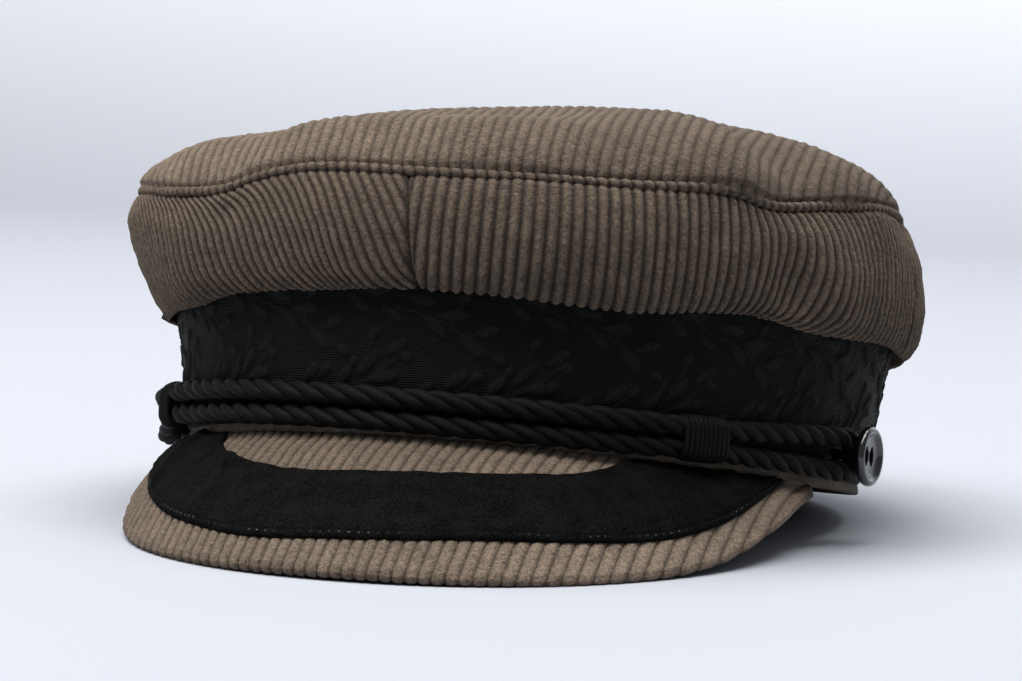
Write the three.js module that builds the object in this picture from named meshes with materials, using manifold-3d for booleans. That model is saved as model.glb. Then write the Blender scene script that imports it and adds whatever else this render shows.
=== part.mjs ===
// A soft captain's hat of wide-wale corduroy: full crown, ribbon band, curved peak,
// two twisted cords and two buttons. Millimetres, +Z up, the peak towards -Y,
// the wearer's left towards +X. The hat rests on the peak's edge and the rear of its hem.
import * as THREE from 'three';
import { mergeVertices } from 'three/addons/utils/BufferGeometryUtils.js';
import Module from 'manifold-3d';

const wasm = await Module();
wasm.setup();
const { lerp } = THREE.MathUtils;

// Head opening and band
const HEM_HALF_WIDTH = 86;
const HEM_HALF_LENGTH = 103.5;
const HEM_SAG = 3; // how much lower the hem hangs over the ears
const HEM_HEIGHT = 2.4;
const BAND_HEIGHT = 38;
const BAND_FLARE = 6.6; // how much further out the band's top edge stands
const BAND_WALL = 1.6;
const RIBBON_WALL = 0.6;
const RIBBON_TOP_MARGIN = 0.6;
const CLEARANCE = 0.3;

// Crown
const CROWN_WALL = 1.5;
const CROWN_OVERHANG = 14; // how far the side bulges past the hem at the front
const FOLD_HEIGHT = 35; // lowest line of the crown over the band, at the front
const SEAM_HEIGHT = 61; // top seam, at the front
const DOME_HEIGHT = 87; // middle of the top panel
const DOME_LEAN = 0.02; // rise of the top panel towards the wearer's left
const DOME_FULLNESS = 3; // higher numbers make a flatter top with a tighter shoulder
const DOME_FULLNESS_LEAN = 0.8; // how much fuller the wearer's left shoulder is
// How the side's profile rounds between its named points, as shares of the way between them
const FOLD_TURN = 0.7; // from the fold up to the band's edge
const FOLD_TUCK = 0.8; // how far in the turn stays from the fold, in walls
const LOWER_ROUND_UP = 0.25; // from the fold to the bulge
const UPPER_ROUND = { out: 0.35, up: 0.6 }; // from the bulge to the seam

// Peak and braid
const PEAK_SPREAD = THREE.MathUtils.degToRad(72);
const PEAK_REACH = 45;
const PEAK_DROP = 32.2;
const PEAK_WIDENING = 3;
const PEAK_SQUARENESS = 2.15; // 2 is an ellipse in plan, more has fuller corners
const PEAK_WALL = 3;
const PEAK_EDGE_ROUNDING = 0.75; // how far each face draws in at the rounded edge
const PEAK_ROOT = 1.8; // how far the peak is tucked under the hem
const PEAK_BOW = 1.5; // 1 is a straight slope, more is steeper towards the edge
const PEAK_END_SLOPE = -2; // how fast the drop runs out at the ends, for each place
const BRAID_EDGE_MARGIN = 11.5;
const BRAID_WIDTH = 24;
const BRAID_WALL = 0.8;
// The braid's ends under the hem, as shares of the peak from the hem to its edge
const BRAID_END_SHARE = 0.06;
const BRAID_LEAST_SHARE = 0.04;
const BRAID_ROOT_SHARE = 0.012;

// Cords, whippings and buttons
const CORD_DIAMETER = 5.2;
const CORD_SPACING = 5.6;
const CORD_LOOP_RADIUS = 4.3;
const CORD_SPREADING_ANGLE = THREE.MathUtils.degToRad(28); // the two part before a button
const CORD_HELD_ANGLE = THREE.MathUtils.degToRad(9); // they stand off the ribbon near a hold
const BUTTON_LEFT_ANGLE = THREE.MathUtils.degToRad(79);
const BUTTON_RIGHT_ANGLE = THREE.MathUtils.degToRad(-96);
const WHIPPING_LEFT_ANGLE = THREE.MathUtils.degToRad(46);
const WHIPPING_RIGHT_ANGLE = THREE.MathUtils.degToRad(-56);
const WHIPPING_LENGTH = 13;
const WHIPPING_WALL = 0.8;
const BUTTON_DIAMETER = 15;
const BUTTON_THICKNESS = 3.4;
const BUTTON_SHANK_DIAMETER = 2.2;
const BUTTON_HOLE_DIAMETER = 1.6;
const BUTTON_HOLE_CIRCLE = 4.8;

// How far cloth gives where it rests on a surface
const REST_FLATTENING = 0.6;

// Steps of the faceted surfaces
const TURN_STEPS = 64;
const DOME_RINGS = 8;
const PEAK_STEPS = 36;
const PEAK_ROWS = 7;
const BRAID_STEPS = 32;
const BRAID_ROWS = 6;
const CORD_STEPS = 42;
const CORD_SIDES = 8;
const BUTTON_SIDES = 16;

// The button's face from the back's middle out to its rim and in to the dished middle,
// as shares of its radius and of BUTTON_THICKNESS.
const BUTTON_SECTIONS = [
  { radius: 0.72, height: 0 },
  { radius: 0.95, height: 0.3 },
  { radius: 1, height: 0.55 },
  { radius: 0.98, height: 0.82 },
  { radius: 0.88, height: 1 },
  { radius: 0.74, height: 0.93 },
  { radius: 0.58, height: 0.68 },
  { radius: 0, height: 0.6 },
];

// Crown sections round the hat, in degrees from the front towards the wearer's left.
// Out columns are shares of CROWN_OVERHANG, up columns are shares of FOLD_HEIGHT (fold),
// of the way from the fold to the seam (bulge) and of SEAM_HEIGHT (seam). The round column
// is how far out the side has come soon above the fold, as a share of the way to the bulge.
const CROWN_COLUMNS = [
  'angle', 'foldOut', 'foldUp', 'roundOut', 'bulgeOut', 'bulgeUp', 'seamOut', 'seamUp',
];
const CROWN_SECTIONS = [
  [-180, 0.79, 0.91, 0.62, 1.29, 0.5, 0.93, 0.98],
  [-140, 0.79, 0.86, 0.58, 1.36, 0.55, 1.0, 0.97],
  [-100, 0.6, 0.82, 0.34, 1.43, 0.7, 1.14, 0.98],
  [-64, 0.55, 0.79, 0.27, 1.43, 0.79, 1.29, 0.98],
  [-45, 0.62, 0.86, 0.48, 1.29, 0.72, 1.18, 0.935],
  [-32, 0.71, 0.93, 0.6, 1.14, 0.62, 1.0, 0.93],
  [-24, 0.71, 0.945, 0.62, 1.07, 0.58, 0.86, 0.985],
  [-14, 0.68, 0.965, 0.62, 1.03, 0.53, 0.75, 1.02],
  [0, 0.66, 1.0, 0.62, 1.0, 0.5, 0.71, 1.013],
  [14, 0.66, 1.0, 0.62, 1.0, 0.5, 0.71, 1.015],
  [32, 0.68, 0.945, 0.62, 1.0, 0.48, 0.71, 1.025],
  [46, 0.66, 1.02, 0.62, 0.89, 0.5, 0.75, 1.05],
  [55, 0.71, 1.0, 0.62, 1.0, 0.46, 0.66, 1.02],
  [66, 0.75, 0.985, 0.62, 1.04, 0.42, 0.68, 1.06],
  [80, 0.75, 0.945, 0.62, 1.04, 0.38, 0.71, 1.1],
  [103, 0.73, 0.955, 0.62, 1.0, 0.36, 0.5, 1.11],
  [140, 0.79, 0.93, 0.62, 1.14, 0.42, 0.71, 1.05],
  [180, 0.79, 0.91, 0.62, 1.29, 0.5, 0.93, 0.98],
];

// Peak edge from the middle (0) to the end (1) of each side, as shares of PEAK_DROP.
const PEAK_SECTIONS = [
  { place: 0, drop: 1.0 },
  { place: 0.25, drop: 0.975 },
  { place: 0.5, drop: 0.87 },
  { place: 0.7, drop: 0.67 },
  { place: 0.85, drop: 0.365 },
  { place: 0.95, drop: 0.13 },
  { place: 1, drop: 0.02 },
];

// One smooth curve through rows of a table, with slopes from each row's neighbours.
function smoothThrough(knots, values, at, slopeBefore, slopeAfter) {
  let i = 0;
  while (i < knots.length - 2 && at > knots[i + 1]) i += 1;
  const slope = (k) => {
    if (k === 0) return slopeBefore;
    if (k === knots.length - 1) return slopeAfter;
    return (values[k + 1] - values[k - 1]) / (knots[k + 1] - knots[k - 1]);
  };
  const span = knots[i + 1] - knots[i];
  const t = (at - knots[i]) / span;
  const a = 2 * t ** 3 - 3 * t ** 2 + 1;
  const b = t ** 3 - 2 * t ** 2 + t;
  const c = 3 * t ** 2 - 2 * t ** 3;
  const d = t ** 3 - t ** 2;
  return a * values[i] + b * span * slope(i) + c * values[i + 1] + d * span * slope(i + 1);
}

const crownColumn = (name) => CROWN_SECTIONS.map((row) => row[CROWN_COLUMNS.indexOf(name)]);
const crownAngles = crownColumn('angle');

function crownShare(column, angle) {
  const values = crownColumn(column);
  const last = values.length - 1;
  const fullTurn = 360;
  const seamless = (values[1] - values[last - 1])
    / (crownAngles[1] - crownAngles[last - 1] + fullTurn);
  const degrees = THREE.MathUtils.euclideanModulo(THREE.MathUtils.radToDeg(angle) + 180, fullTurn) - 180;
  return smoothThrough(crownAngles, values, degrees, seamless, seamless);
}

function flareAt(height) {
  return BAND_FLARE * height / BAND_HEIGHT;
}

// A point at an angle round the hat, a distance outside the hem's outline, and a height.
function ringPoint(angle, out, height) {
  return new THREE.Vector3(
    (HEM_HALF_WIDTH + out) * Math.sin(angle),
    -(HEM_HALF_LENGTH + out) * Math.cos(angle),
    height,
  );
}

// The same for the band and what lies on it, which hang lower over the ears.
function bandPoint(angle, out, height) {
  const sag = HEM_SAG * Math.sin(angle) ** 2 * (1 - height / BAND_HEIGHT);
  return ringPoint(angle, out, height - sag);
}

// A closed wall between an outer and an inner grid. Each section holds two equal rows of
// points. A closed wall goes all the way round, and a domed one ends in two middle points.
function wallGeometry(sections, { closed = false, dome = null } = {}) {
  const rows = sections[0].outer.length;
  const positions = [];
  for (const { outer, inner } of sections) {
    for (const point of [...outer, ...inner]) positions.push(point.x, point.y, point.z);
  }
  const outerAt = (i, j) => (i % sections.length) * 2 * rows + j;
  const innerAt = (i, j) => outerAt(i, j) + rows;
  const faces = [];
  const quad = (a, b, c, d) => faces.push(a, b, c, a, c, d);
  const spans = closed ? sections.length : sections.length - 1;
  for (let i = 0; i < spans; i += 1) {
    for (let j = 0; j < rows - 1; j += 1) {
      quad(outerAt(i, j), outerAt(i + 1, j), outerAt(i + 1, j + 1), outerAt(i, j + 1));
      quad(innerAt(i, j), innerAt(i, j + 1), innerAt(i + 1, j + 1), innerAt(i + 1, j));
    }
    quad(outerAt(i + 1, 0), outerAt(i, 0), innerAt(i, 0), innerAt(i + 1, 0));
    if (dome) {
      const apex = sections.length * 2 * rows;
      faces.push(outerAt(i, rows - 1), outerAt(i + 1, rows - 1), apex);
      faces.push(innerAt(i + 1, rows - 1), innerAt(i, rows - 1), apex + 1);
    } else {
      quad(outerAt(i, rows - 1), outerAt(i + 1, rows - 1), innerAt(i + 1, rows - 1), innerAt(i, rows - 1));
    }
  }
  if (dome) {
    for (const point of dome) positions.push(point.x, point.y, point.z);
  }
  if (!closed) {
    const end = sections.length - 1;
    for (let j = 0; j < rows - 1; j += 1) {
      quad(outerAt(0, j), outerAt(0, j + 1), innerAt(0, j + 1), innerAt(0, j));
      quad(outerAt(end, j + 1), outerAt(end, j), innerAt(end, j), innerAt(end, j + 1));
    }
  }
  const geometry = new THREE.BufferGeometry();
  geometry.setAttribute('position', new THREE.Float32BufferAttribute(positions, 3));
  geometry.setIndex(faces);
  geometry.computeVertexNormals();
  return geometry;
}

// The crown's outer profile at one angle, from the band's top edge, down round the lower
// fold, out over the bulge and in to the top seam, as (out, up) pairs.
function crownProfile(angle) {
  const foldOut = CROWN_OVERHANG * crownShare('foldOut', angle);
  const foldUp = FOLD_HEIGHT * crownShare('foldUp', angle);
  const seamOut = CROWN_OVERHANG * crownShare('seamOut', angle);
  const seamUp = SEAM_HEIGHT * crownShare('seamUp', angle);
  const bulgeOut = CROWN_OVERHANG * crownShare('bulgeOut', angle);
  const bulgeUp = lerp(foldUp, seamUp, crownShare('bulgeUp', angle));
  const edgeOut = flareAt(BAND_HEIGHT);
  const turnUp = lerp(foldUp, BAND_HEIGHT, FOLD_TURN);
  const turnOut = Math.min(flareAt(turnUp) + CROWN_WALL, foldOut - FOLD_TUCK * CROWN_WALL);
  return [
    [edgeOut - BAND_WALL, BAND_HEIGHT + CLEARANCE],
    [edgeOut + 0.5 * CROWN_WALL, BAND_HEIGHT + CLEARANCE],
    [turnOut, turnUp],
    [foldOut, foldUp],
    [lerp(foldOut, bulgeOut, crownShare('roundOut', angle)), lerp(foldUp, bulgeUp, LOWER_ROUND_UP)],
    [bulgeOut, bulgeUp],
    [lerp(bulgeOut, seamOut, UPPER_ROUND.out), lerp(bulgeUp, seamUp, UPPER_ROUND.up)],
    [seamOut, seamUp],
  ];
}

// Where the profile is sampled, counted in its points: closer together round the fold.
const PROFILE_STOPS = [0, 1, 2, 2.5, 3, 3.5, 4, 4.7, 5.4, 6.2, 7];

// The outside and the inside of the crown's side at one angle, as (out, up) pairs.
function profileRow(angle) {
  const flat = crownProfile(angle).map(([out, up]) => new THREE.Vector3(out, up, 0));
  const curve = new THREE.CatmullRomCurve3(flat, false, 'centripetal');
  const outer = [];
  const inner = [];
  for (const stop of PROFILE_STOPS) {
    const place = stop / (flat.length - 1);
    const point = curve.getPoint(place);
    const along = stop === 0 ? new THREE.Vector3(1, 0, 0) : curve.getTangent(place);
    outer.push([point.x, point.y]);
    inner.push([point.x - along.y * CROWN_WALL, point.y + along.x * CROWN_WALL]);
  }
  return { outer, inner, leaving: curve.getTangent(1) };
}

function crownQuarter(fromTurn) {
  const steps = TURN_STEPS / 4;
  const halfGap = CLEARANCE / 2 / HEM_HALF_WIDTH;
  const start = fromTurn * Math.PI / 2 + halfGap;
  const end = (fromTurn + 1) * Math.PI / 2 - halfGap;
  const sections = [];
  for (let i = 0; i <= steps; i += 1) {
    const angle = lerp(start, end, i / steps);
    const { outer, inner } = profileRow(angle);
    sections.push({
      outer: outer.map(([out, up]) => ringPoint(angle, out, up)),
      inner: inner.map(([out, up]) => ringPoint(angle, out, up)),
    });
  }
  return wallGeometry(sections);
}

// Height of the top panel's outside, from the seam (share 1) to the middle (share 0).
function domePoint(edge, share) {
  const point = edge.clone().multiplyScalar(share);
  const top = DOME_HEIGHT + DOME_LEAN * point.x;
  const fullness = DOME_FULLNESS + DOME_FULLNESS_LEAN * edge.x / HEM_HALF_WIDTH;
  const rise = Math.sqrt(Math.max(0, 1 - share ** fullness));
  point.z = lerp(edge.z, top, rise);
  return point;
}

function crownTop() {
  const sections = [];
  for (let i = 0; i < TURN_STEPS; i += 1) {
    const angle = i * 2 * Math.PI / TURN_STEPS;
    const { outer, inner, leaving } = profileRow(angle);
    const [seamOut, seamUp] = outer.at(-1);
    const [wallOut, wallUp] = inner.at(-1);
    const stepOut = leaving.x * CLEARANCE;
    const stepUp = leaving.y * CLEARANCE;
    const edge = ringPoint(angle, seamOut + stepOut, seamUp + stepUp);
    const section = { outer: [edge], inner: [ringPoint(angle, wallOut + stepOut, wallUp + stepUp)] };
    for (let j = 1; j < DOME_RINGS; j += 1) {
      const share = Math.cos(j / DOME_RINGS * Math.PI / 2);
      const point = domePoint(edge, share);
      const along = domePoint(edge, share - 0.01).sub(domePoint(edge, share + 0.01));
      const aside = new THREE.Vector3(-edge.y, edge.x, 0);
      const inward = aside.cross(along).normalize();
      section.outer.push(point);
      section.inner.push(point.clone().addScaledVector(inward, -CROWN_WALL));
    }
    sections.push(section);
  }
  const middle = new THREE.Vector3(0, 0, DOME_HEIGHT);
  const under = new THREE.Vector3(0, 0, DOME_HEIGHT - CROWN_WALL);
  return wallGeometry(sections, { closed: true, dome: [middle, under] });
}

// A band that goes all the way round, from (out, up) pairs of its outer and inner faces.
function roundBand(outer, inner) {
  const sections = [];
  for (let i = 0; i < TURN_STEPS; i += 1) {
    const angle = i * 2 * Math.PI / TURN_STEPS;
    sections.push({
      outer: outer.map(([out, up]) => flattenOnFloor(bandPoint(angle, out, up))),
      inner: inner.map(([out, up]) => flattenOnFloor(bandPoint(angle, out, up))),
    });
  }
  return wallGeometry(sections, { closed: true });
}

function headBand() {
  const recess = RIBBON_WALL + CLEARANCE;
  const lining = recess + BAND_WALL;
  return roundBand(
    [
      [0, 0],
      [0, HEM_HEIGHT],
      [flareAt(HEM_HEIGHT) - recess, HEM_HEIGHT],
      [flareAt(BAND_HEIGHT) - recess, BAND_HEIGHT],
    ],
    [
      [-lining, 0],
      [-lining, HEM_HEIGHT / 2],
      [flareAt(HEM_HEIGHT) - lining, HEM_HEIGHT],
      [flareAt(BAND_HEIGHT) - lining, BAND_HEIGHT],
    ],
  );
}

function bandRibbon() {
  const bottom = HEM_HEIGHT + CLEARANCE;
  const top = BAND_HEIGHT - RIBBON_TOP_MARGIN;
  return roundBand(
    [[flareAt(bottom), bottom], [flareAt(top), top]],
    [[flareAt(bottom) - RIBBON_WALL, bottom], [flareAt(top) - RIBBON_WALL, top]],
  );
}

// The peak's upper face, at a place from -1 (right end) to 1 (left end) along it and a
// share from the hem (0) to its edge (1).
function peakPoint(place, share) {
  const root = ringPoint(place * PEAK_SPREAD, 0, 0);
  root.z = -HEM_SAG * Math.sin(place * PEAK_SPREAD) ** 2 - CLEARANCE;
  const turn = place * Math.PI / 2;
  const corner = ringPoint(PEAK_SPREAD, 0, 0);
  const aside = Math.sin(turn);
  const ahead = Math.max(0, 1 - Math.abs(aside) ** PEAK_SQUARENESS) ** (1 / PEAK_SQUARENESS);
  const edgeX = (corner.x + PEAK_WIDENING) * aside;
  const edgeY = corner.y - (HEM_HALF_LENGTH + PEAK_REACH + corner.y) * ahead;
  const drop = PEAK_DROP * smoothThrough(
    PEAK_SECTIONS.map((row) => row.place),
    PEAK_SECTIONS.map((row) => row.drop),
    Math.abs(place),
    0,
    PEAK_END_SLOPE,
  );
  return new THREE.Vector3(
    lerp(root.x, edgeX, share),
    lerp(root.y, edgeY, share),
    root.z - drop * Math.max(share, 0) ** PEAK_BOW,
  );
}

// The upward normal of the peak's upper face.
function peakNormal(place, share) {
  const step = 0.01;
  const near = Math.max(share, 2 * step);
  const out = peakPoint(place, near + step).sub(peakPoint(place, near - step));
  const side = Math.min(Math.max(place, step - 1), 1 - step);
  const along = peakPoint(side + step, near).sub(peakPoint(side - step, near));
  return out.cross(along).normalize();
}

// How far the hat leans back when the peak's edge and the rear hem touch one surface.
function restTilt() {
  let tilt = 0;
  for (let place = 0; place <= 1; place += 0.05) {
    const under = PEAK_EDGE_ROUNDING - PEAK_WALL;
    const edge = peakPoint(place, 1).addScaledVector(peakNormal(place, 1), under);
    tilt = Math.max(tilt, Math.atan2(-edge.z, HEM_HALF_LENGTH - edge.y));
  }
  return tilt;
}

const REST_TILT = restTilt();
const floorUp = new THREE.Vector3(0, -Math.sin(REST_TILT), Math.cos(REST_TILT));
const floorLevel = ringPoint(Math.PI, 0, 0).dot(floorUp);

// Cloth that would reach below the surface lies flat on it.
function flattenOnFloor(point) {
  const depth = floorLevel + REST_FLATTENING - point.dot(floorUp);
  if (depth > 0) point.addScaledVector(floorUp, depth);
  return point;
}

function peak() {
  const sections = [];
  for (let i = 0; i <= PEAK_STEPS; i += 1) {
    const place = Math.sin((0.5 - i / PEAK_STEPS) * Math.PI);
    const outer = [];
    const inner = [];
    const rootUp = peakPoint(place, 0).z;
    const tucked = ringPoint(place * PEAK_SPREAD, -PEAK_ROOT, rootUp);
    outer.push(tucked);
    inner.push(tucked.clone().add(new THREE.Vector3(0, 0, -PEAK_WALL)));
    for (let j = 0; j <= PEAK_ROWS; j += 1) {
      const share = j / PEAK_ROWS;
      const point = peakPoint(place, share);
      const normal = peakNormal(place, share);
      const rounding = j === PEAK_ROWS ? PEAK_EDGE_ROUNDING : 0;
      outer.push(flattenOnFloor(point.clone().addScaledVector(normal, -rounding)));
      inner.push(flattenOnFloor(point.clone().addScaledVector(normal, rounding - PEAK_WALL)));
    }
    sections.push({ outer, inner });
  }
  return wallGeometry(sections);
}

// The share at which a place on the peak lies a given distance in from its edge.
function shareInFromEdge(place, distance) {
  const step = 0.01;
  let share = 1;
  let walked = 0;
  while (share > 0 && walked < distance) {
    walked += peakPoint(place, share).distanceTo(peakPoint(place, share - step));
    share -= step;
  }
  const overshoot = (walked - distance) / peakPoint(place, share).distanceTo(peakPoint(place, share + step));
  return Math.max(share > 0 ? share + overshoot * step : 0, 0);
}

// The place along the peak where the braid's outer edge runs in under the hem.
function braidEnd() {
  let place = 1;
  const step = 0.005;
  while (shareInFromEdge(place, BRAID_EDGE_MARGIN) < BRAID_END_SHARE) place -= step;
  return place;
}

function peakBraid() {
  const end = braidEnd();
  const sections = [];
  for (let i = 0; i <= BRAID_STEPS; i += 1) {
    const place = end * Math.sin((0.5 - i / BRAID_STEPS) * Math.PI);
    const outerShare = shareInFromEdge(place, BRAID_EDGE_MARGIN);
    const innerShare = Math.min(
      shareInFromEdge(place, BRAID_EDGE_MARGIN + BRAID_WIDTH),
      outerShare - BRAID_LEAST_SHARE,
    );
    const outer = [];
    const inner = [];
    for (let j = 0; j <= BRAID_ROWS; j += 1) {
      const share = lerp(Math.max(innerShare, BRAID_ROOT_SHARE), outerShare, j / BRAID_ROWS);
      const point = peakPoint(place, share);
      const normal = peakNormal(place, share);
      outer.push(point.clone().addScaledVector(normal, CLEARANCE + BRAID_WALL));
      inner.push(point.clone().addScaledVector(normal, CLEARANCE));
    }
    sections.push({ outer, inner });
  }
  return wallGeometry(sections);
}

const CORD_RADIUS = CORD_DIAMETER / 2;
const CORD_MIDDLE_HEIGHT = HEM_HEIGHT + CLEARANCE + CORD_RADIUS + CORD_SPACING / 2;

// The cords lie on the ribbon, and stand off it by a whipping's wall where they are held.
function cordOut(angle, height) {
  const whipped = [WHIPPING_LEFT_ANGLE, WHIPPING_RIGHT_ANGLE, BUTTON_LEFT_ANGLE, BUTTON_RIGHT_ANGLE]
    .reduce((most, held) => Math.max(most, 1 - Math.abs(angle - held) / CORD_HELD_ANGLE), 0);
  const eased = THREE.MathUtils.smoothstep(Math.min(1, 2 * whipped), 0, 1);
  return flareAt(height) + CLEARANCE + CORD_RADIUS + eased * (WHIPPING_WALL + CLEARANCE);
}

// A point on a cord, above (1) or below (-1) the middle line between the two.
function cordPoint(angle, side) {
  const buttonAngle = angle > 0 ? BUTTON_LEFT_ANGLE : BUTTON_RIGHT_ANGLE;
  const toButton = Math.abs(buttonAngle - angle) / CORD_SPREADING_ANGLE;
  const spreading = 1 - THREE.MathUtils.smoothstep(toButton, 0, 1);
  const spread = lerp(CORD_SPACING / 2, CORD_LOOP_RADIUS, spreading);
  const height = CORD_MIDDLE_HEIGHT + side * spread;
  return bandPoint(angle, cordOut(angle, height), height);
}

function cordMiddle(angle) {
  return cordPoint(angle, 1).add(cordPoint(angle, -1)).multiplyScalar(0.5);
}

// The direction along the band, towards larger angles.
function alongBand(angle) {
  return new THREE.Vector3(
    HEM_HALF_WIDTH * Math.cos(angle),
    HEM_HALF_LENGTH * Math.sin(angle),
    0,
  ).normalize();
}

// A cord runs from one button to the other and ends in a half loop round that button's shank.
function cord(side) {
  const hookAngle = side > 0 ? BUTTON_RIGHT_ANGLE : BUTTON_LEFT_ANGLE;
  const startAngle = side > 0 ? BUTTON_LEFT_ANGLE : BUTTON_RIGHT_ANGLE;
  const points = [];
  for (let i = 0; i <= CORD_STEPS; i += 1) {
    const angle = lerp(startAngle, hookAngle, i / CORD_STEPS);
    points.push(cordPoint(angle, side));
  }
  // The loop's end is straight, so that it meets the other cord's end face to face.
  const straightEnd = CORD_RADIUS;
  points[0].add(points[1].clone().sub(points[0]).setLength(straightEnd + CLEARANCE));
  const centre = cordMiddle(hookAngle);
  const away = alongBand(hookAngle).multiplyScalar(Math.sign(hookAngle) * CORD_LOOP_RADIUS);
  const loopSteps = 8;
  for (let i = 1; i <= loopSteps; i += 1) {
    const turn = i / loopSteps * Math.PI;
    points.push(centre.clone()
      .addScaledVector(away, Math.sin(turn))
      .add(new THREE.Vector3(0, 0, side * CORD_LOOP_RADIUS * Math.cos(turn))));
  }
  points.push(points.at(-1).clone().addScaledVector(away, -straightEnd / CORD_LOOP_RADIUS));
  const section = new THREE.Shape();
  for (let k = 0; k < CORD_SIDES; k += 1) {
    const turn = (k + 0.5) * 2 * Math.PI / CORD_SIDES;
    const x = CORD_RADIUS * Math.cos(turn);
    const y = CORD_RADIUS * Math.sin(turn);
    if (k === 0) section.moveTo(x, y);
    else section.lineTo(x, y);
  }
  return new THREE.ExtrudeGeometry(section, {
    steps: CORD_STEPS + loopSteps + 1,
    bevelEnabled: false,
    extrudePath: new THREE.CatmullRomCurve3(points, false, 'centripetal'),
  });
}

// A winding of thread round both cords, as a long ring with round ends.
function whipping(middleAngle) {
  const ringSteps = 20;
  const lengthRows = 2;
  const hole = CORD_RADIUS + CLEARANCE;
  const halfTurn = WHIPPING_LENGTH / 2 / cordMiddle(middleAngle).length();
  const sections = [];
  for (let i = 0; i < ringSteps; i += 1) {
    const turn = -(i + 0.5) * 2 * Math.PI / ringSteps;
    const outer = [];
    const inner = [];
    for (let j = 0; j <= lengthRows; j += 1) {
      const angle = middleAngle + halfTurn * (2 * j / lengthRows - 1);
      const outward = new THREE.Vector3(0, 0, 1).cross(alongBand(middleAngle)).negate();
      const centre = cordPoint(angle, Math.sign(Math.sin(turn)));
      const ray = outward.multiplyScalar(Math.cos(turn)).add(new THREE.Vector3(0, 0, Math.sin(turn)));
      outer.push(centre.clone().addScaledVector(ray, hole + WHIPPING_WALL));
      inner.push(centre.clone().addScaledVector(ray, hole));
    }
    sections.push({ outer, inner });
  }
  return wallGeometry(sections, { closed: true });
}

function solidFrom(geometry) {
  const plain = geometry.clone();
  plain.deleteAttribute('normal');
  plain.deleteAttribute('uv');
  const merged = mergeVertices(plain, 1e-4);
  return new wasm.Manifold(new wasm.Mesh({
    numProp: 3,
    vertProperties: Float32Array.from(merged.attributes.position.array),
    triVerts: Uint32Array.from(merged.index.array),
  }));
}

function geometryFrom(solid) {
  const mesh = solid.getMesh();
  const geometry = new THREE.BufferGeometry();
  geometry.setAttribute('position', new THREE.Float32BufferAttribute(mesh.vertProperties, 3));
  geometry.setIndex(Array.from(mesh.triVerts));
  geometry.computeVertexNormals();
  return geometry;
}

// How far the button's back stands outside the ribbon, over the cords' loops.
const BUTTON_STANDOFF = CORD_DIAMETER + WHIPPING_WALL + 3 * CLEARANCE + flareAt(CORD_LOOP_RADIUS);

// A dished button with a raised rim, four sewing holes and its thread shank, facing +Y.
function buttonGeometry() {
  const radius = BUTTON_DIAMETER / 2;
  const shank = BUTTON_SHANK_DIAMETER / 2;
  const shankEnd = CLEARANCE - BUTTON_STANDOFF;
  const profile = [
    [0, shankEnd],
    [shank, shankEnd],
    [shank, 0],
    ...BUTTON_SECTIONS.map((row) => [row.radius * radius, row.height * BUTTON_THICKNESS]),
  ].map(([x, y]) => new THREE.Vector2(x, y));
  let solid = solidFrom(new THREE.LatheGeometry(profile, BUTTON_SIDES));
  const holeSides = 10;
  for (let k = 0; k < 4; k += 1) {
    const turn = (k + 0.5) * Math.PI / 2;
    const hole = new THREE.CylinderGeometry(
      BUTTON_HOLE_DIAMETER / 2,
      BUTTON_HOLE_DIAMETER / 2,
      4 * BUTTON_THICKNESS,
      holeSides,
    );
    hole.translate(
      BUTTON_HOLE_CIRCLE / 2 * Math.cos(turn),
      0,
      BUTTON_HOLE_CIRCLE / 2 * Math.sin(turn),
    );
    solid = solid.subtract(solidFrom(hole));
  }
  return geometryFrom(solid);
}

function placeButton(mesh, angle) {
  const along = alongBand(angle);
  const outward = new THREE.Vector3(0, 0, 1).cross(along).negate();
  const seat = bandPoint(angle, flareAt(CORD_MIDDLE_HEIGHT), CORD_MIDDLE_HEIGHT);
  mesh.position.copy(seat).addScaledVector(outward, BUTTON_STANDOFF);
  mesh.quaternion.setFromUnitVectors(new THREE.Vector3(0, 1, 0), outward);
}

const corduroy = new THREE.MeshStandardMaterial({ color: 0x62564d, roughness: 0.95, metalness: 0 });
const blackRibbon = new THREE.MeshStandardMaterial({ color: 0x121314, roughness: 0.75, metalness: 0 });
const blackBraid = new THREE.MeshStandardMaterial({ color: 0x151617, roughness: 0.85, metalness: 0 });
const blackCord = new THREE.MeshStandardMaterial({ color: 0x131313, roughness: 0.5, metalness: 0 });
const blackPlastic = new THREE.MeshStandardMaterial({ color: 0x0c0c0d, roughness: 0.2, metalness: 0 });

const hat = new THREE.Group();

function add(name, geometry, material) {
  const mesh = new THREE.Mesh(geometry, material);
  mesh.name = name;
  hat.add(mesh);
  return mesh;
}

add('crown_top', crownTop(), corduroy);
add('crown_front_left', crownQuarter(0), corduroy);
add('crown_back_left', crownQuarter(1), corduroy);
add('crown_back_right', crownQuarter(2), corduroy);
add('crown_front_right', crownQuarter(3), corduroy);
add('head_band', headBand(), corduroy);
add('band_ribbon', bandRibbon(), blackRibbon);
add('peak', peak(), corduroy);
add('peak_braid', peakBraid(), blackBraid);
add('cord_upper', cord(1), blackCord);
add('cord_lower', cord(-1), blackCord);
add('whipping_left', whipping(WHIPPING_LEFT_ANGLE), blackCord);
add('whipping_right', whipping(WHIPPING_RIGHT_ANGLE), blackCord);
placeButton(add('button_left', buttonGeometry(), blackPlastic), BUTTON_LEFT_ANGLE);
placeButton(add('button_right', buttonGeometry(), blackPlastic), BUTTON_RIGHT_ANGLE);

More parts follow.
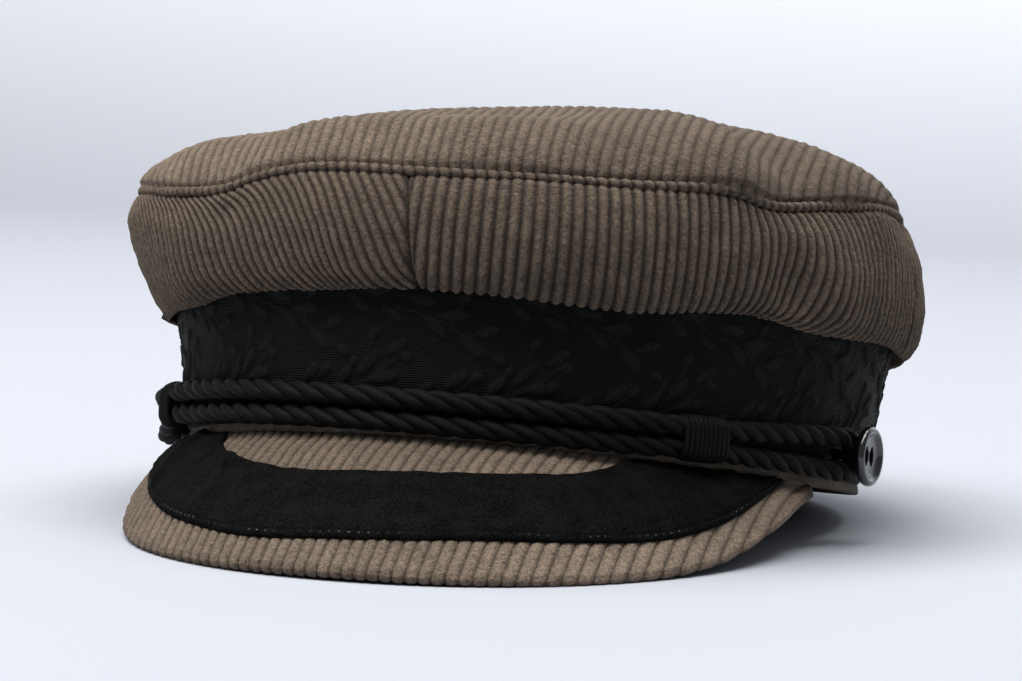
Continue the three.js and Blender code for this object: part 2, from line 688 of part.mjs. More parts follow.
// Lean the hat back onto its peak and rear hem, and stand it on the origin.
hat.rotation.x = -REST_TILT;
const group = new THREE.Group();
group.add(hat);
group.updateMatrixWorld(true);
const box = new THREE.Box3().setFromObject(group, true);
const middle = box.getCenter(new THREE.Vector3());
hat.position.set(-middle.x, -middle.y, -box.min.z);
group.updateMatrixWorld(true);

export default group;
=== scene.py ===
"""A soft captain's hat of wide-wale corduroy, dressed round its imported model.

Metres, +Z up, the peak towards -Y and the wearer's left towards +X.
"""

import math

import bmesh
import bpy
import numpy as np
from mathutils import Matrix, Vector


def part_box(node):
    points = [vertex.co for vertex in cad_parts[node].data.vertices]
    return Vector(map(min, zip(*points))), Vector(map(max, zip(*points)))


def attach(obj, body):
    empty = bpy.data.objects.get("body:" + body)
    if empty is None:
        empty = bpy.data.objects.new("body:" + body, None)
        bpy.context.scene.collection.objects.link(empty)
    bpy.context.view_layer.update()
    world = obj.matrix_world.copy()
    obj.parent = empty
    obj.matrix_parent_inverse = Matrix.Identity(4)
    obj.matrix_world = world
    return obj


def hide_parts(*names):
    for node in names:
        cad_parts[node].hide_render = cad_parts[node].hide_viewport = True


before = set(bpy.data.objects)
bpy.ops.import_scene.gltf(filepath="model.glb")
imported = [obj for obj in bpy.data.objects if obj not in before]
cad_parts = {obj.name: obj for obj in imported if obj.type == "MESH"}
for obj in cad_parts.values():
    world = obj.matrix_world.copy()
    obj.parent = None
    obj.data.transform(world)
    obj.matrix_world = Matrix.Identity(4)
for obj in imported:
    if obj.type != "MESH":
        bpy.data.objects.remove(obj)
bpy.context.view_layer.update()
MM = 0.001

# Head opening and band, as in the model's own source
HEM_HALF_WIDTH = 86 * MM
HEM_HALF_LENGTH = 103.5 * MM
HEM_SAG = 3 * MM
HEM_HEIGHT = 2.4 * MM
BAND_HEIGHT = 38 * MM
BAND_FLARE = 6.6 * MM
BAND_WALL = 1.6 * MM
RIBBON_WALL = 0.6 * MM
RIBBON_TOP_MARGIN = 0.6 * MM
CLEARANCE = 0.3 * MM

# Crown
CROWN_WALL = 1.5 * MM
CROWN_OVERHANG = 14 * MM
FOLD_HEIGHT = 35 * MM
SEAM_HEIGHT = 61 * MM
DOME_HEIGHT = 87 * MM
DOME_LEAN = 0.02
DOME_FULLNESS = 3
DOME_FULLNESS_LEAN = 0.8
FOLD_TURN = 0.7
FOLD_TUCK = 0.8
LOWER_ROUND_UP = 0.25
UPPER_ROUND_OUT, UPPER_ROUND_UP = 0.35, 0.6

# Peak and braid
PEAK_SPREAD = math.radians(72)
PEAK_REACH = 45 * MM
PEAK_DROP = 32.2 * MM
PEAK_WIDENING = 3 * MM
PEAK_SQUARENESS = 2.15
PEAK_WALL = 3 * MM
PEAK_EDGE_ROUNDING = 0.75 * MM
PEAK_ROOT = 1.8 * MM
PEAK_BOW = 1.5
PEAK_END_SLOPE = -2
BRAID_EDGE_MARGIN = 11.5 * MM
BRAID_WALL = 0.8 * MM

# Cords, whippings and buttons
CORD_DIAMETER = 5.2 * MM
CORD_SPACING = 5.6 * MM
CORD_LOOP_RADIUS = 4.3 * MM
CORD_SPREADING_ANGLE = math.radians(28)
CORD_HELD_ANGLE = math.radians(9)
BUTTON_LEFT_ANGLE = math.radians(79)
BUTTON_RIGHT_ANGLE = math.radians(-96)
WHIPPING_LEFT_ANGLE = math.radians(46)
WHIPPING_RIGHT_ANGLE = math.radians(-56)
WHIPPING_ANGLES = (WHIPPING_LEFT_ANGLE, WHIPPING_RIGHT_ANGLE)
WHIPPING_LENGTH = 13 * MM
WHIPPING_WALL = 0.8 * MM
BUTTON_DIAMETER = 15 * MM
BUTTON_THICKNESS = 3.4 * MM
BUTTON_SHANK_DIAMETER = 2.2 * MM
BUTTON_HOLE_DIAMETER = 1.6 * MM
BUTTON_HOLE_CIRCLE = 4.8 * MM

# Cloth: wide-wale corduroy
WALE_PITCH = 2.9 * MM
WALE_DEPTH = 0.85 * MM
SIDE_ROUNDNESS = 1.4  # lower numbers make flatter tops and narrower valleys
TOP_ROUNDNESS = 1.1
PEAK_ROUNDNESS = 0.7
TOP_WALE_DEPTH = 0.6  # share of WALE_DEPTH on the top panel
PEAK_WALE_DEPTH = 0.65
SIDE_VALLEY = 0.16  # value between the wales of the side: the valleys are darkened partly for their sparser pile and partly by painted shade
PALE_VALLEY = 0.4  # the same on the top panel and the peak, where less painted shade is put in the valleys, as light from above fills them
PILE = 0.06 * MM
INNER_NAP = 0.5  # value of the pile tone and painted valley shade on the hidden inner walls
INNER_GAP = 0.6 * MM  # how much further in the inner walls lie than the model's
WALE_MIDDLE = 0.75  # share of a wale's height that lies on the model's surface
MERGE = 1e-6
WALE_STOPS = (0, 0.06, 0.16, 0.31, 0.5, 0.69, 0.84, 0.94)  # mesh columns across one wale

# Crown sections round the hat: shares of the sizes above, as in the model's source
CROWN_COLUMNS = (
    "angle", "fold_out", "fold_up", "round_out", "bulge_out", "bulge_up", "seam_out", "seam_up",
)
CROWN_SECTIONS = np.array([
    (-180, 0.79, 0.91, 0.62, 1.29, 0.5, 0.93, 0.98),
    (-140, 0.79, 0.86, 0.58, 1.36, 0.55, 1.0, 0.97),
    (-100, 0.6, 0.82, 0.34, 1.43, 0.7, 1.14, 0.98),
    (-64, 0.55, 0.79, 0.27, 1.43, 0.79, 1.29, 0.98),
    (-45, 0.62, 0.86, 0.48, 1.29, 0.72, 1.18, 0.935),
    (-32, 0.71, 0.93, 0.6, 1.14, 0.62, 1.0, 0.93),
    (-24, 0.71, 0.945, 0.62, 1.07, 0.58, 0.86, 0.985),
    (-14, 0.68, 0.965, 0.62, 1.03, 0.53, 0.75, 1.02),
    (0, 0.66, 1.0, 0.62, 1.0, 0.5, 0.71, 1.013),
    (14, 0.66, 1.0, 0.62, 1.0, 0.5, 0.71, 1.015),
    (32, 0.68, 0.945, 0.62, 1.0, 0.48, 0.71, 1.025),
    (46, 0.66, 1.02, 0.62, 0.89, 0.5, 0.75, 1.05),
    (55, 0.71, 1.0, 0.62, 1.0, 0.46, 0.66, 1.02),
    (66, 0.75, 0.985, 0.62, 1.04, 0.42, 0.68, 1.06),
    (80, 0.75, 0.945, 0.62, 1.04, 0.38, 0.71, 1.1),
    (103, 0.73, 0.955, 0.62, 1.0, 0.36, 0.5, 1.11),
    (140, 0.79, 0.93, 0.62, 1.14, 0.42, 0.71, 1.05),
    (180, 0.79, 0.91, 0.62, 1.29, 0.5, 0.93, 0.98),
])

# Peak edge from the middle (0) to the end (1) of each side, as shares of PEAK_DROP
PEAK_PLACES = (0, 0.25, 0.5, 0.7, 0.85, 0.95, 1)
PEAK_DROPS = (1.0, 0.975, 0.87, 0.67, 0.365, 0.13, 0.02)

# How the wales run down each quarter from the top seam: at each angle, how far a wale has
# moved towards the wearer's left by the bulge (middle) and by the fold (bottom), in mm.
WALE_RUNS = {
    "crown_front_right": [  # angle, middle, bottom
        (-90, 5, 11),
        (-70, 9, 17),
        (-45, 12, 21),
        (-25, 11, 24),
        (-15, 8.5, 18),
        (-8, 8, 20),
        (0, 8, 20),
    ],
    "crown_front_left": [
        (0, 0, -1),
        (15, 0, -1),
        (36, 0, 0),
        (47, 0, -2),
        (51, 1, -3.5),
        (56, 1, -6.5),
        (61, 1.5, -8.5),
        (66, 2, -7),
        (70, 2.5, -3),
        (78, 2.5, 2),
        (90, 2, 3),
    ],
    "crown_back_left": [
        (90, 3, 6),
        (120, 1, 2),
        (150, 2, 5),
        (180, 4, 10),
    ],
    "crown_back_right": [
        (-180, -4, -10),
        (-150, -2, -5),
        (-120, -1, -2),
        (-90, -3, -6),
    ],
}
QUARTER_TURNS = {
    "crown_front_right": (-90, 0),
    "crown_front_left": (0, 90),
    "crown_back_left": (90, 180),
    "crown_back_right": (-180, -90),
}
SEAM_LEANS = {-180: 0.8, -90: 1.2, 0: 2.8, 90: -1.0, 180: 0.8}  # degrees, over the side's height
SEAM_ASIDE = 1.3  # degrees, how far the front seam stands towards the wearer's left


def smoothstep(x):
    x = np.clip(x, 0, 1)
    return x * x * (3 - 2 * x)


def mix(a, b, share):
    return a + (b - a) * share


def bell(x):
    return np.exp(-x * x)


def smooth_through(knots, values, at, slope_before, slope_after):
    knots = np.asarray(knots, float)
    values = np.asarray(values, float)
    slopes = np.empty(len(knots))
    slopes[1:-1] = (values[2:] - values[:-2]) / (knots[2:] - knots[:-2])
    slopes[0] = slope_before
    slopes[-1] = slope_after
    i = np.clip(np.searchsorted(knots, at, side="left") - 1, 0, len(knots) - 2)
    span = knots[i + 1] - knots[i]
    t = (at - knots[i]) / span
    rising = 3 * t**2 - 2 * t**3
    bend = (t**3 - 2 * t**2 + t) * slopes[i] + (t**3 - t**2) * slopes[i + 1]
    return values[i] * (1 - rising) + values[i + 1] * rising + span * bend


def crown_share(column, angle):
    knots = CROWN_SECTIONS[:, 0]
    values = CROWN_SECTIONS[:, CROWN_COLUMNS.index(column)]
    seamless = (values[1] - values[-2]) / (knots[1] - knots[-2] + 360)
    degrees = (np.degrees(angle) + 180) % 360 - 180
    return smooth_through(knots, values, degrees, seamless, seamless)


def flare_at(height):
    return BAND_FLARE * height / BAND_HEIGHT


def ring_point(angle, out, height):
    parts = np.broadcast_arrays(
        (HEM_HALF_WIDTH + out) * np.sin(angle),
        -(HEM_HALF_LENGTH + out) * np.cos(angle),
        np.asarray(height, float),
    )
    return np.stack(parts, -1)


def band_point(angle, out, height):
    sag = HEM_SAG * np.sin(angle) ** 2 * (1 - height / BAND_HEIGHT)
    return ring_point(angle, out, height - sag)


def full_turn(steps):
    """Angles all the way round."""
    return np.arange(steps) * 2 * math.pi / steps


def turned_from(angle, degrees):
    """How far angles are from a place round the hat, from -pi to pi."""
    return (angle - math.radians(degrees) + math.pi) % (2 * math.pi) - math.pi


def lengths_along(points):
    """Length from the first point to each point of a line."""
    return np.concatenate([[0], np.cumsum(np.linalg.norm(np.diff(points, axis=0), axis=1))])


def with_inner(values, inner, spare=0.0):
    """Values for the outer points of a wall, followed by one for all its inner points."""
    return np.concatenate([values.ravel(), np.full(inner.shape[0] * inner.shape[1], spare)])


def unit(vectors):
    return vectors / np.maximum(np.linalg.norm(vectors, axis=-1, keepdims=True), 1e-12)


def along_curve(points, place):
    """Points and slopes on centripetal Catmull-Rom curves. points is (curves, knots, dims)
    or (knots, dims), and place counts in knots."""
    place = np.asarray(place, float)
    if points.ndim == 2:
        points = np.broadcast_to(points, (len(place), *points.shape))
    last = points.shape[1] - 1
    i = np.clip(np.floor(place).astype(int), 0, last - 1)
    t = (place - i)[:, None]
    rows = np.arange(len(place))
    before = 2 * points[:, :1] - points[:, 1:2]
    after = 2 * points[:, -1:] - points[:, -2:-1]
    padded = np.concatenate([before, points, after], axis=1)
    x0, x1, x2, x3 = (padded[rows, i + k] for k in range(4))

    def gap(a, b):
        return np.maximum(np.linalg.norm(b - a, axis=1, keepdims=True), 1e-9) ** 0.5

    d0 = gap(x0, x1)
    d1 = gap(x1, x2)
    d2 = gap(x2, x3)
    m1 = ((x1 - x0) / d0 - (x2 - x0) / (d0 + d1) + (x2 - x1) / d1) * d1
    m2 = ((x2 - x1) / d1 - (x3 - x1) / (d1 + d2) + (x3 - x2) / d2) * d1
    c2 = -3 * x1 + 3 * x2 - 2 * m1 - m2
    c3 = 2 * x1 - 2 * x2 + m1 + m2
    return x1 + m1 * t + c2 * t**2 + c3 * t**3, m1 + 2 * c2 * t + 3 * c3 * t**2


def crown_profile(angle):
    """Profile points of the crown's side from the band's top edge, round the fold and over
    the bulge to the top seam, as (angles, 8, 2) of out and up."""
    fold_out = CROWN_OVERHANG * crown_share("fold_out", angle)
    fold_up = FOLD_HEIGHT * crown_share("fold_up", angle)
    seam_out = CROWN_OVERHANG * crown_share("seam_out", angle)
    seam_up = SEAM_HEIGHT * crown_share("seam_up", angle)
    bulge_out = CROWN_OVERHANG * crown_share("bulge_out", angle)
    bulge_up = mix(fold_up, seam_up, crown_share("bulge_up", angle))
    edge_out = flare_at(BAND_HEIGHT) + 0 * angle
    edge_up = BAND_HEIGHT + CLEARANCE + 0 * angle
    round_out = crown_share("round_out", angle)
    turn_up = mix(fold_up, BAND_HEIGHT, FOLD_TURN)
    turn_out = np.minimum(flare_at(turn_up) + CROWN_WALL, fold_out - FOLD_TUCK * CROWN_WALL)
    pairs = [
        (edge_out - BAND_WALL, edge_up),
        (edge_out + 0.5 * CROWN_WALL, edge_up),
        (turn_out, turn_up),
        (fold_out, fold_up),
        (mix(fold_out, bulge_out, round_out), mix(fold_up, bulge_up, LOWER_ROUND_UP)),
        (bulge_out, bulge_up),
        (mix(bulge_out, seam_out, UPPER_ROUND_OUT), mix(bulge_up, seam_up, UPPER_ROUND_UP)),
        (seam_out, seam_up),
    ]
    return np.stack([np.stack(pair, -1) for pair in pairs], 1)


PROFILE_FOLD = 3
PROFILE_END = 7


def side_point(angle, stop):
    """A point on the outside of the crown's side, at flat arrays of angle and profile stop."""
    flat, _ = along_curve(crown_profile(angle), stop)
    return ring_point(angle, flat[:, 0], flat[:, 1])


def side_surface(angle, stop):
    """The same with the outward normal."""
    step = 0.002
    point = side_point(angle, stop)
    low = np.maximum(stop - step, 0)
    high = np.minimum(stop + step, PROFILE_END)
    up = side_point(angle, high) - side_point(angle, low)
    along = side_point(angle + step, stop) - side_point(angle - step, stop)
    return point, unit(np.cross(along, up))


def crown_edge(angle):
    """The top panel's edge at the seam."""
    profile = crown_profile(angle)
    end, slope = along_curve(profile, np.full(len(angle), float(PROFILE_END)))
    end = end + unit(slope) * CLEARANCE
    return ring_point(angle, end[:, 0], end[:, 1])


def dome_rise(edge, share):
    fullness = DOME_FULLNESS + DOME_FULLNESS_LEAN * edge[:, 0] / HEM_HALF_WIDTH
    return np.sqrt(np.maximum(0, 1 - share**fullness))


def dome_point(angle, share):
    edge = crown_edge(angle)
    point = edge * share[:, None]
    top = DOME_HEIGHT + DOME_LEAN * point[:, 0]
    rise = dome_rise(edge, np.abs(share))
    point[:, 2] = mix(edge[:, 2], top, rise)
    return point


def peak_point(place, share):
    place, share = np.broadcast_arrays(np.asarray(place, float), np.asarray(share, float))
    spread = place * PEAK_SPREAD
    root = ring_point(spread, 0, -HEM_SAG * np.sin(spread) ** 2 - CLEARANCE)
    turn = place * math.pi / 2
    corner = ring_point(PEAK_SPREAD, 0, 0)
    aside = np.sin(turn)
    ahead = np.maximum(0, 1 - np.abs(aside) ** PEAK_SQUARENESS) ** (1 / PEAK_SQUARENESS)
    edge_x = (corner[0] + PEAK_WIDENING) * aside
    edge_y = corner[1] - (HEM_HALF_LENGTH + PEAK_REACH + corner[1]) * ahead
    drop = PEAK_DROP * smooth_through(PEAK_PLACES, PEAK_DROPS, np.abs(place), 0, PEAK_END_SLOPE)
    return np.stack([
        mix(root[..., 0], edge_x, share),
        mix(root[..., 1], edge_y, share),
        root[..., 2] - drop * np.maximum(share, 0) ** PEAK_BOW,
    ], -1)


def peak_normal(place, share):
    step = 0.01
    near = np.maximum(share, 2 * step)
    out = peak_point(place, near + step) - peak_point(place, near - step)
    side = np.clip(place, step - 1, 1 - step)
    along = peak_point(side + step, near) - peak_point(side - step, near)
    return unit(np.cross(out, along))


def rest_tilt():
    places = np.arange(0, 1.001, 0.05)
    edge = peak_point(places, 1.0)
    edge = edge + peak_normal(places, np.ones(len(places))) * (PEAK_EDGE_ROUNDING - PEAK_WALL)
    return np.arctan2(-edge[:, 2], HEM_HALF_LENGTH - edge[:, 1]).max()


REST_TILT = rest_tilt()
LEAN = np.array([
    (1, 0, 0),
    (0, math.cos(REST_TILT), math.sin(REST_TILT)),
    (0, -math.sin(REST_TILT), math.cos(REST_TILT)),
])


def seat_of_hat():
    """Where the leaned hat stands, from the ribbon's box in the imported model."""
    bottom = HEM_HEIGHT + CLEARANCE
    top = BAND_HEIGHT - RIBBON_TOP_MARGIN
    angle = full_turn(64)
    faces = [band_point(angle, flare_at(h) - inset, h) for h in (bottom, top) for inset in (0, RIBBON_WALL)]
    ribbon = np.concatenate(faces) @ LEAN.T
    low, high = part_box("band_ribbon")
    return (np.array(low) + np.array(high)) / 2 - (ribbon.min(0) + ribbon.max(0)) / 2


SEAT = seat_of_hat()


def to_world(points):
    return points @ LEAN.T + SEAT


def on_floor(points):
    """Cloth that would reach into the surface lies flat on it."""
    world = to_world(points)
    world[..., 2] = np.maximum(world[..., 2], 0.0)
    return world


def ripple(points, length, seed):
    """Smooth seeded noise from -1 to 1 with bumps of about one length."""
    draw = np.random.default_rng(seed)
    total = np.zeros(points.shape[:-1])
    waves = 9
    for _ in range(waves):
        direction = unit(draw.normal(size=3))
        stretch = draw.uniform(0.6, 1.5)
        phase = draw.uniform(0, 2 * math.pi)
        total += np.sin(points @ direction * (2 * math.pi / length * stretch) + phase)
    return total / math.sqrt(waves)


def fuzz(points, amount, seed):
    """Seeded roughness of the pile, point by point."""
    draw = np.random.default_rng(seed)
    return amount * np.clip(draw.normal(size=points.shape[:-1]), -2, 2)


def wale_relief(phase, roundness):
    """Height of a wale's rounded top, 0 in the valleys and 1 along the ridge."""
    across = np.abs(2 * (phase - np.floor(phase)) - 1)
    return np.maximum(0, 1 - across**2) ** roundness


def wale_columns(first, last):
    """Phases of the mesh columns from one whole wale to another."""
    stops = np.arange(first, last)[:, None] + np.array(WALE_STOPS)[None]
    return np.append(stops.ravel(), float(last))


# Building meshes

def grid_index(columns, rows, start=0):
    return start + np.arange(columns * rows).reshape(columns, rows)


def quads(index, flip=False):
    faces = np.stack([index[:-1, :-1], index[1:, :-1], index[1:, 1:], index[:-1, 1:]], -1).reshape(-1, 4)
    return (faces[:, ::-1] if flip else faces).tolist()


def shell(outer, inner, column_step, row_step, round_trip=False):
    """A closed wall between a fine outer grid and a coarse inner one. The inner grid has
    every column_step-th column and row_step-th row of the outer."""
    columns, rows = outer.shape[:2]
    inner_columns, inner_rows = inner.shape[:2]
    out = grid_index(columns, rows)
    into = grid_index(inner_columns, inner_rows, columns * rows)
    if round_trip:
        out = np.concatenate([out, out[:1]])
        into = np.concatenate([into, into[:1]])
    faces = quads(out) + quads(into, flip=True)
    for a in range(len(into) - 1):
        span = slice(a * column_step, (a + 1) * column_step + 1)
        low = out[span, 0].tolist()
        high = out[span, -1].tolist()
        faces.append(low[::-1] + [into[a, 0], into[a + 1, 0]])
        faces.append(high + [into[a + 1, -1], into[a, -1]])
    if not round_trip:
        for b in range(inner_rows - 1):
            span = slice(b * row_step, (b + 1) * row_step + 1)
            left = out[0, span].tolist()
            right = out[-1, span].tolist()
            faces.append(left + [into[0, b + 1], into[0, b]])
            faces.append(right[::-1] + [into[-1, b], into[-1, b + 1]])
    points = np.concatenate([outer.reshape(-1, 3), inner.reshape(-1, 3)])
    return points, faces


def tube_grid(path, sides, radius, closed=False):
    """Points of a tube along a path, (steps, sides, 3), with its own steady frame."""
    path = np.asarray(path, float)
    if closed:
        ahead = np.roll(path, -1, 0) - np.roll(path, 1, 0)
    else:
        ahead = np.gradient(path, axis=0)
    ahead = unit(ahead)
    aside = np.empty_like(path)
    start = np.cross(ahead[0], (0.0, 0.0, 1.0))
    if np.linalg.norm(start) < 0.2:
        start = np.cross(ahead[0], (0.0, 1.0, 0.0))
    aside[0] = unit(start)
    for i in range(1, len(path)):
        carried = aside[i - 1] - ahead[i] * (aside[i - 1] @ ahead[i])
        aside[i] = carried / np.linalg.norm(carried)
    over = np.cross(ahead, aside)
    if closed:
        carried = aside[-1] - ahead[0] * (aside[-1] @ ahead[0])
        twist = math.atan2(carried @ over[0], carried @ aside[0])
        turn = -twist * np.arange(len(path)) / len(path)
        aside, over = (
            aside * np.cos(turn)[:, None] + over * np.sin(turn)[:, None],
            over * np.cos(turn)[:, None] - aside * np.sin(turn)[:, None],
        )
    round_turn = full_turn(sides)
    radius = np.broadcast_to(np.asarray(radius, float), (len(path),))
    cos = np.cos(round_turn)[None, :, None]
    sin = np.sin(round_turn)[None, :, None]
    return path[:, None] + radius[:, None, None] * (aside[:, None] * cos + over[:, None] * sin)


def tube_faces(steps, sides, start=0, closed=False):
    index = grid_index(steps, sides, start)
    index = np.concatenate([index, index[:, :1]], axis=1)
    if closed:
        return quads(np.concatenate([index, index[:1]]), flip=True)
    faces = quads(index, flip=True)
    faces.append(index[0, :-1].tolist())
    faces.append(index[-1, :-1][::-1].tolist())
    return faces


def join(parts):
    """One set of points and faces from several."""
    points = []
    faces = []
    start = 0
    for part_points, part_faces in parts:
        flat = part_points.reshape(-1, 3)
        points.append(flat)
        faces.extend([[i + start for i in face] for face in part_faces])
        start += len(flat)
    return np.concatenate(points), faces


def piece(name, points, faces, material, nodes=(), values=None, merge=0.0, world=False):
    """A mesh object that rides on the hat, stands for CAD nodes and keeps named values
    for its material on its points."""
    if not world:
        points = to_world(points)
    mesh = bpy.data.meshes.new(name)
    mesh.from_pydata(points.tolist(), [], faces)
    for key, numbers in (values or {}).items():
        kind = "FLOAT_VECTOR" if np.ndim(numbers) == 2 else "FLOAT"
        field = "vector" if kind == "FLOAT_VECTOR" else "value"
        attribute = mesh.attributes.new(key, kind, "POINT")
        attribute.data.foreach_set(field, np.ascontiguousarray(numbers, np.float32).ravel())
    if merge:
        work = bmesh.new()
        work.from_mesh(mesh)
        bmesh.ops.remove_doubles(work, verts=work.verts, dist=merge)
        bmesh.ops.dissolve_degenerate(work, dist=merge / 10, edges=work.edges)
        work.to_mesh(mesh)
        work.free()
    mesh.validate()
    mesh.polygons.foreach_set("use_smooth", np.ones(len(mesh.polygons), bool))
    mesh.update()
    thing = bpy.data.objects.new(name, mesh)
    bpy.context.scene.collection.objects.link(thing)
    mesh.materials.append(material)
    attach(thing, "root")
    if nodes:
        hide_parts(*nodes)
    return thing


# Materials

class Finish:
    """A Principled material with a few helpers for its nodes."""

    def __init__(self, name, **sockets):
        self.material = bpy.data.materials.new(name)
        self.material.use_nodes = True
        self.tree = self.material.node_tree
        self.shader = self.tree.nodes["Principled BSDF"]
        for socket, value in sockets.items():
            self.shader.inputs[socket.replace("_", " ")].default_value = value
        self.object_place = self.add("ShaderNodeTexCoord").outputs["Object"]

    def add(self, kind, **inputs):
        node = self.tree.nodes.new(kind)
        for socket, value in inputs.items():
            self.feed(node.inputs[socket.replace("_", " ")], value)
        return node

    def feed(self, socket, value):
        if isinstance(value, bpy.types.NodeSocket):
            self.tree.links.new(value, socket)
        else:
            socket.default_value = value

    def math(self, operation, a, b=None, clamp=False):
        node = self.tree.nodes.new("ShaderNodeMath")
        node.operation = operation
        node.use_clamp = clamp
        self.feed(node.inputs[0], a)
        if b is not None:
            self.feed(node.inputs[1], b)
        return node.outputs[0]

    def total(self, *parts):
        """The sum of sockets, each with its weight."""
        weighed = [self.math("MULTIPLY", socket, weight) for socket, weight in parts]
        return self.math("ADD", *weighed)

    def away(self, value, place):
        return self.math("ABSOLUTE", self.math("SUBTRACT", value, place))

    def value(self, name, output="Fac"):
        node = self.tree.nodes.new("ShaderNodeAttribute")
        node.attribute_name = name
        return node.outputs[output]

    def with_painted_light(self, color):
        """The color made lighter or darker by painted light and shade, given on the points of each piece."""
        return self.add("ShaderNodeHueSaturation", Color=color, Value=self.value("painted_light")).outputs["Color"]

    def tones(self, share, color, dark, light):
        return self.blend(share, tuple(c * dark for c in color), tuple(c * light for c in color))

    def noise(self, scale, detail=2.0, place=None, roughness=0.5):
        node = self.add("ShaderNodeTexNoise", Scale=scale, Detail=detail, Roughness=roughness)
        self.feed(node.inputs["Vector"], place if place is not None else self.object_place)
        return node.outputs["Fac"]

    def range(self, value, low, high, to_low=0.0, to_high=1.0):
        node = self.tree.nodes.new("ShaderNodeMapRange")
        self.feed(node.inputs["Value"], value)
        for socket, number in zip(("From Min", "From Max", "To Min", "To Max"), (low, high, to_low, to_high)):
            node.inputs[socket].default_value = number
        return node.outputs["Result"]

    def blend(self, share, a, b, mode="MIX"):
        node = self.tree.nodes.new("ShaderNodeMix")
        node.data_type = "RGBA"
        node.blend_type = mode
        self.feed(node.inputs[0], share)
        self.feed(node.inputs[6], (*a, 1.0) if isinstance(a, tuple) else a)
        self.feed(node.inputs[7], (*b, 1.0) if isinstance(b, tuple) else b)
        return node.outputs[2]

    def color(self, value):
        self.feed(self.shader.inputs["Base Color"], value)

    def bump(self, height, distance, strength=1.0, under=None):
        node = self.tree.nodes.new("ShaderNodeBump")
        node.inputs["Strength"].default_value = strength
        node.inputs["Distance"].default_value = distance
        self.feed(node.inputs["Height"], height)
        if under is not None:
            self.feed(node.inputs["Normal"], under)
        self.feed(self.shader.inputs["Normal"], node.outputs["Normal"])
        return node.outputs["Normal"]


# Painted light and shade: how much lighter or darker the cloth is painted on each piece, and across the hat,
# for the way light falls on it
SIDE_PAINTED_LIGHT = 0.72
TOP_PAINTED_LIGHT = 0.84
TOP_PAINTED_LIGHT_TURN = 0.2
STRIP_PAINTED_LIGHT = 0.8
PEAK_PAINTED_LIGHT = 0.92
PEAK_PAINTED_LIGHT_TURN = 0.5
HEM_PAINTED_LIGHT = 1.75
HEM_PAINTED_LIGHT_TURN = 0.6
CLOTH_LIGHT = (0.185, 0.142, 0.108)
CLOTH_MIDDLE = (0.105, 0.080, 0.061)
# The valleys' colour, partly the sparser pile's own and partly painted shade; on the hem, the colour of its
# dark grain
CLOTH_DARK = (0.036, 0.0275, 0.0215)
BLACK_RIBBON = (0.0064, 0.0066, 0.0062)
BLACK_BRAID = (0.0023, 0.0026, 0.0024)
BLACK_CORD = (0.0030, 0.0031, 0.0030)


def corduroy_finish():
    """Cotton pile: mottled tops, dark valleys and a fuzzy grain. The valleys' darkness is partly the sparser
    pile's own colour and partly painted shade, and each piece's tone is made lighter or darker by painted
    light.
    """
    finish = Finish("corduroy", Roughness=0.95, Sheen_Weight=0.12, Sheen_Roughness=0.5,
                    Sheen_Tint=(0.9, 0.74, 0.6, 1.0), Specular_IOR_Level=0.08)
    pile_and_shade = finish.value("pile_and_shade")
    broad = finish.noise(110, 3)
    tufts = finish.noise(900, 2, roughness=0.6)
    grain = finish.noise(1900, 3, roughness=0.8)
    speck = finish.range(finish.total((tufts, 0.35), (grain, 0.65)), 0.38, 0.62)
    tone = finish.total((speck, 0.75), (finish.range(broad, 0.3, 0.7), 0.25))
    tops = finish.blend(tone, tuple(c * 0.5 for c in CLOTH_MIDDLE), tuple(c * 1.1 for c in CLOTH_LIGHT))
    # Painted shade: the valleys between the wales are darkened, partly for their sparser pile and partly as
    # shade between the wales
    shade = finish.math("ADD", finish.range(pile_and_shade, 0.3, 1.0), finish.math("MULTIPLY", speck, 0.25))
    cloth = finish.blend(finish.range(shade, 0.12, 1.1), CLOTH_DARK, tops)
    # Painted light and shade: each piece's tone, with its gradients across the hat
    finish.color(finish.with_painted_light(cloth))
    finish.bump(finish.total((tufts, 0.55), (grain, 0.45)), 1.1 * MM, 0.9)
    return finish.material


RIB_PITCH = 0.56  # millimetres
SATIN_PITCH = 0.5


def ribbon_finish():
    """Woven ribbon: fine ribs round the band, and satin threads across the leaves. The ribs' and threads'
    light and shade are painted into the colour, and the leaves are painted lighter as a painted satin sheen.
    """
    finish = Finish("black_ribbon", Roughness=0.6, Sheen_Weight=0.0, Specular_IOR_Level=0.035)
    height_mm = finish.value("height")
    along_mm = finish.value("along")
    leaf = finish.range(finish.value("leaf"), 0.25, 0.6)
    ribs = finish.math("SINE", finish.math("MULTIPLY", height_mm, 2 * math.pi / RIB_PITCH))
    satin = finish.math("SINE", finish.math("MULTIPLY", along_mm, 2 * math.pi / SATIN_PITCH))
    ribs = finish.math("MULTIPLY", ribs, finish.math("SUBTRACT", 1.0, leaf))
    satin = finish.math("MULTIPLY", satin, leaf)
    threads = finish.math("ADD", ribs, satin)
    fuzz = finish.noise(2400, 3)
    relief = finish.total((threads, 0.3), (fuzz, 0.6))
    # Painted light and shade: the threads' relief lightens and darkens the colour, the fuzz partly as random
    # tone
    lit = finish.range(relief, -0.1, 0.7)
    base = finish.tones(lit, BLACK_RIBBON, 0.4, 1.5)
    # Painted sheen: the leaves and stems are painted lighter, as their satin catches the light
    lit_weave = finish.tones(lit, BLACK_RIBBON, 0.7, 2.4)
    finish.color(finish.blend(leaf, base, lit_weave))
    finish.bump(relief, 0.22 * MM, 1.0)
    return finish.material


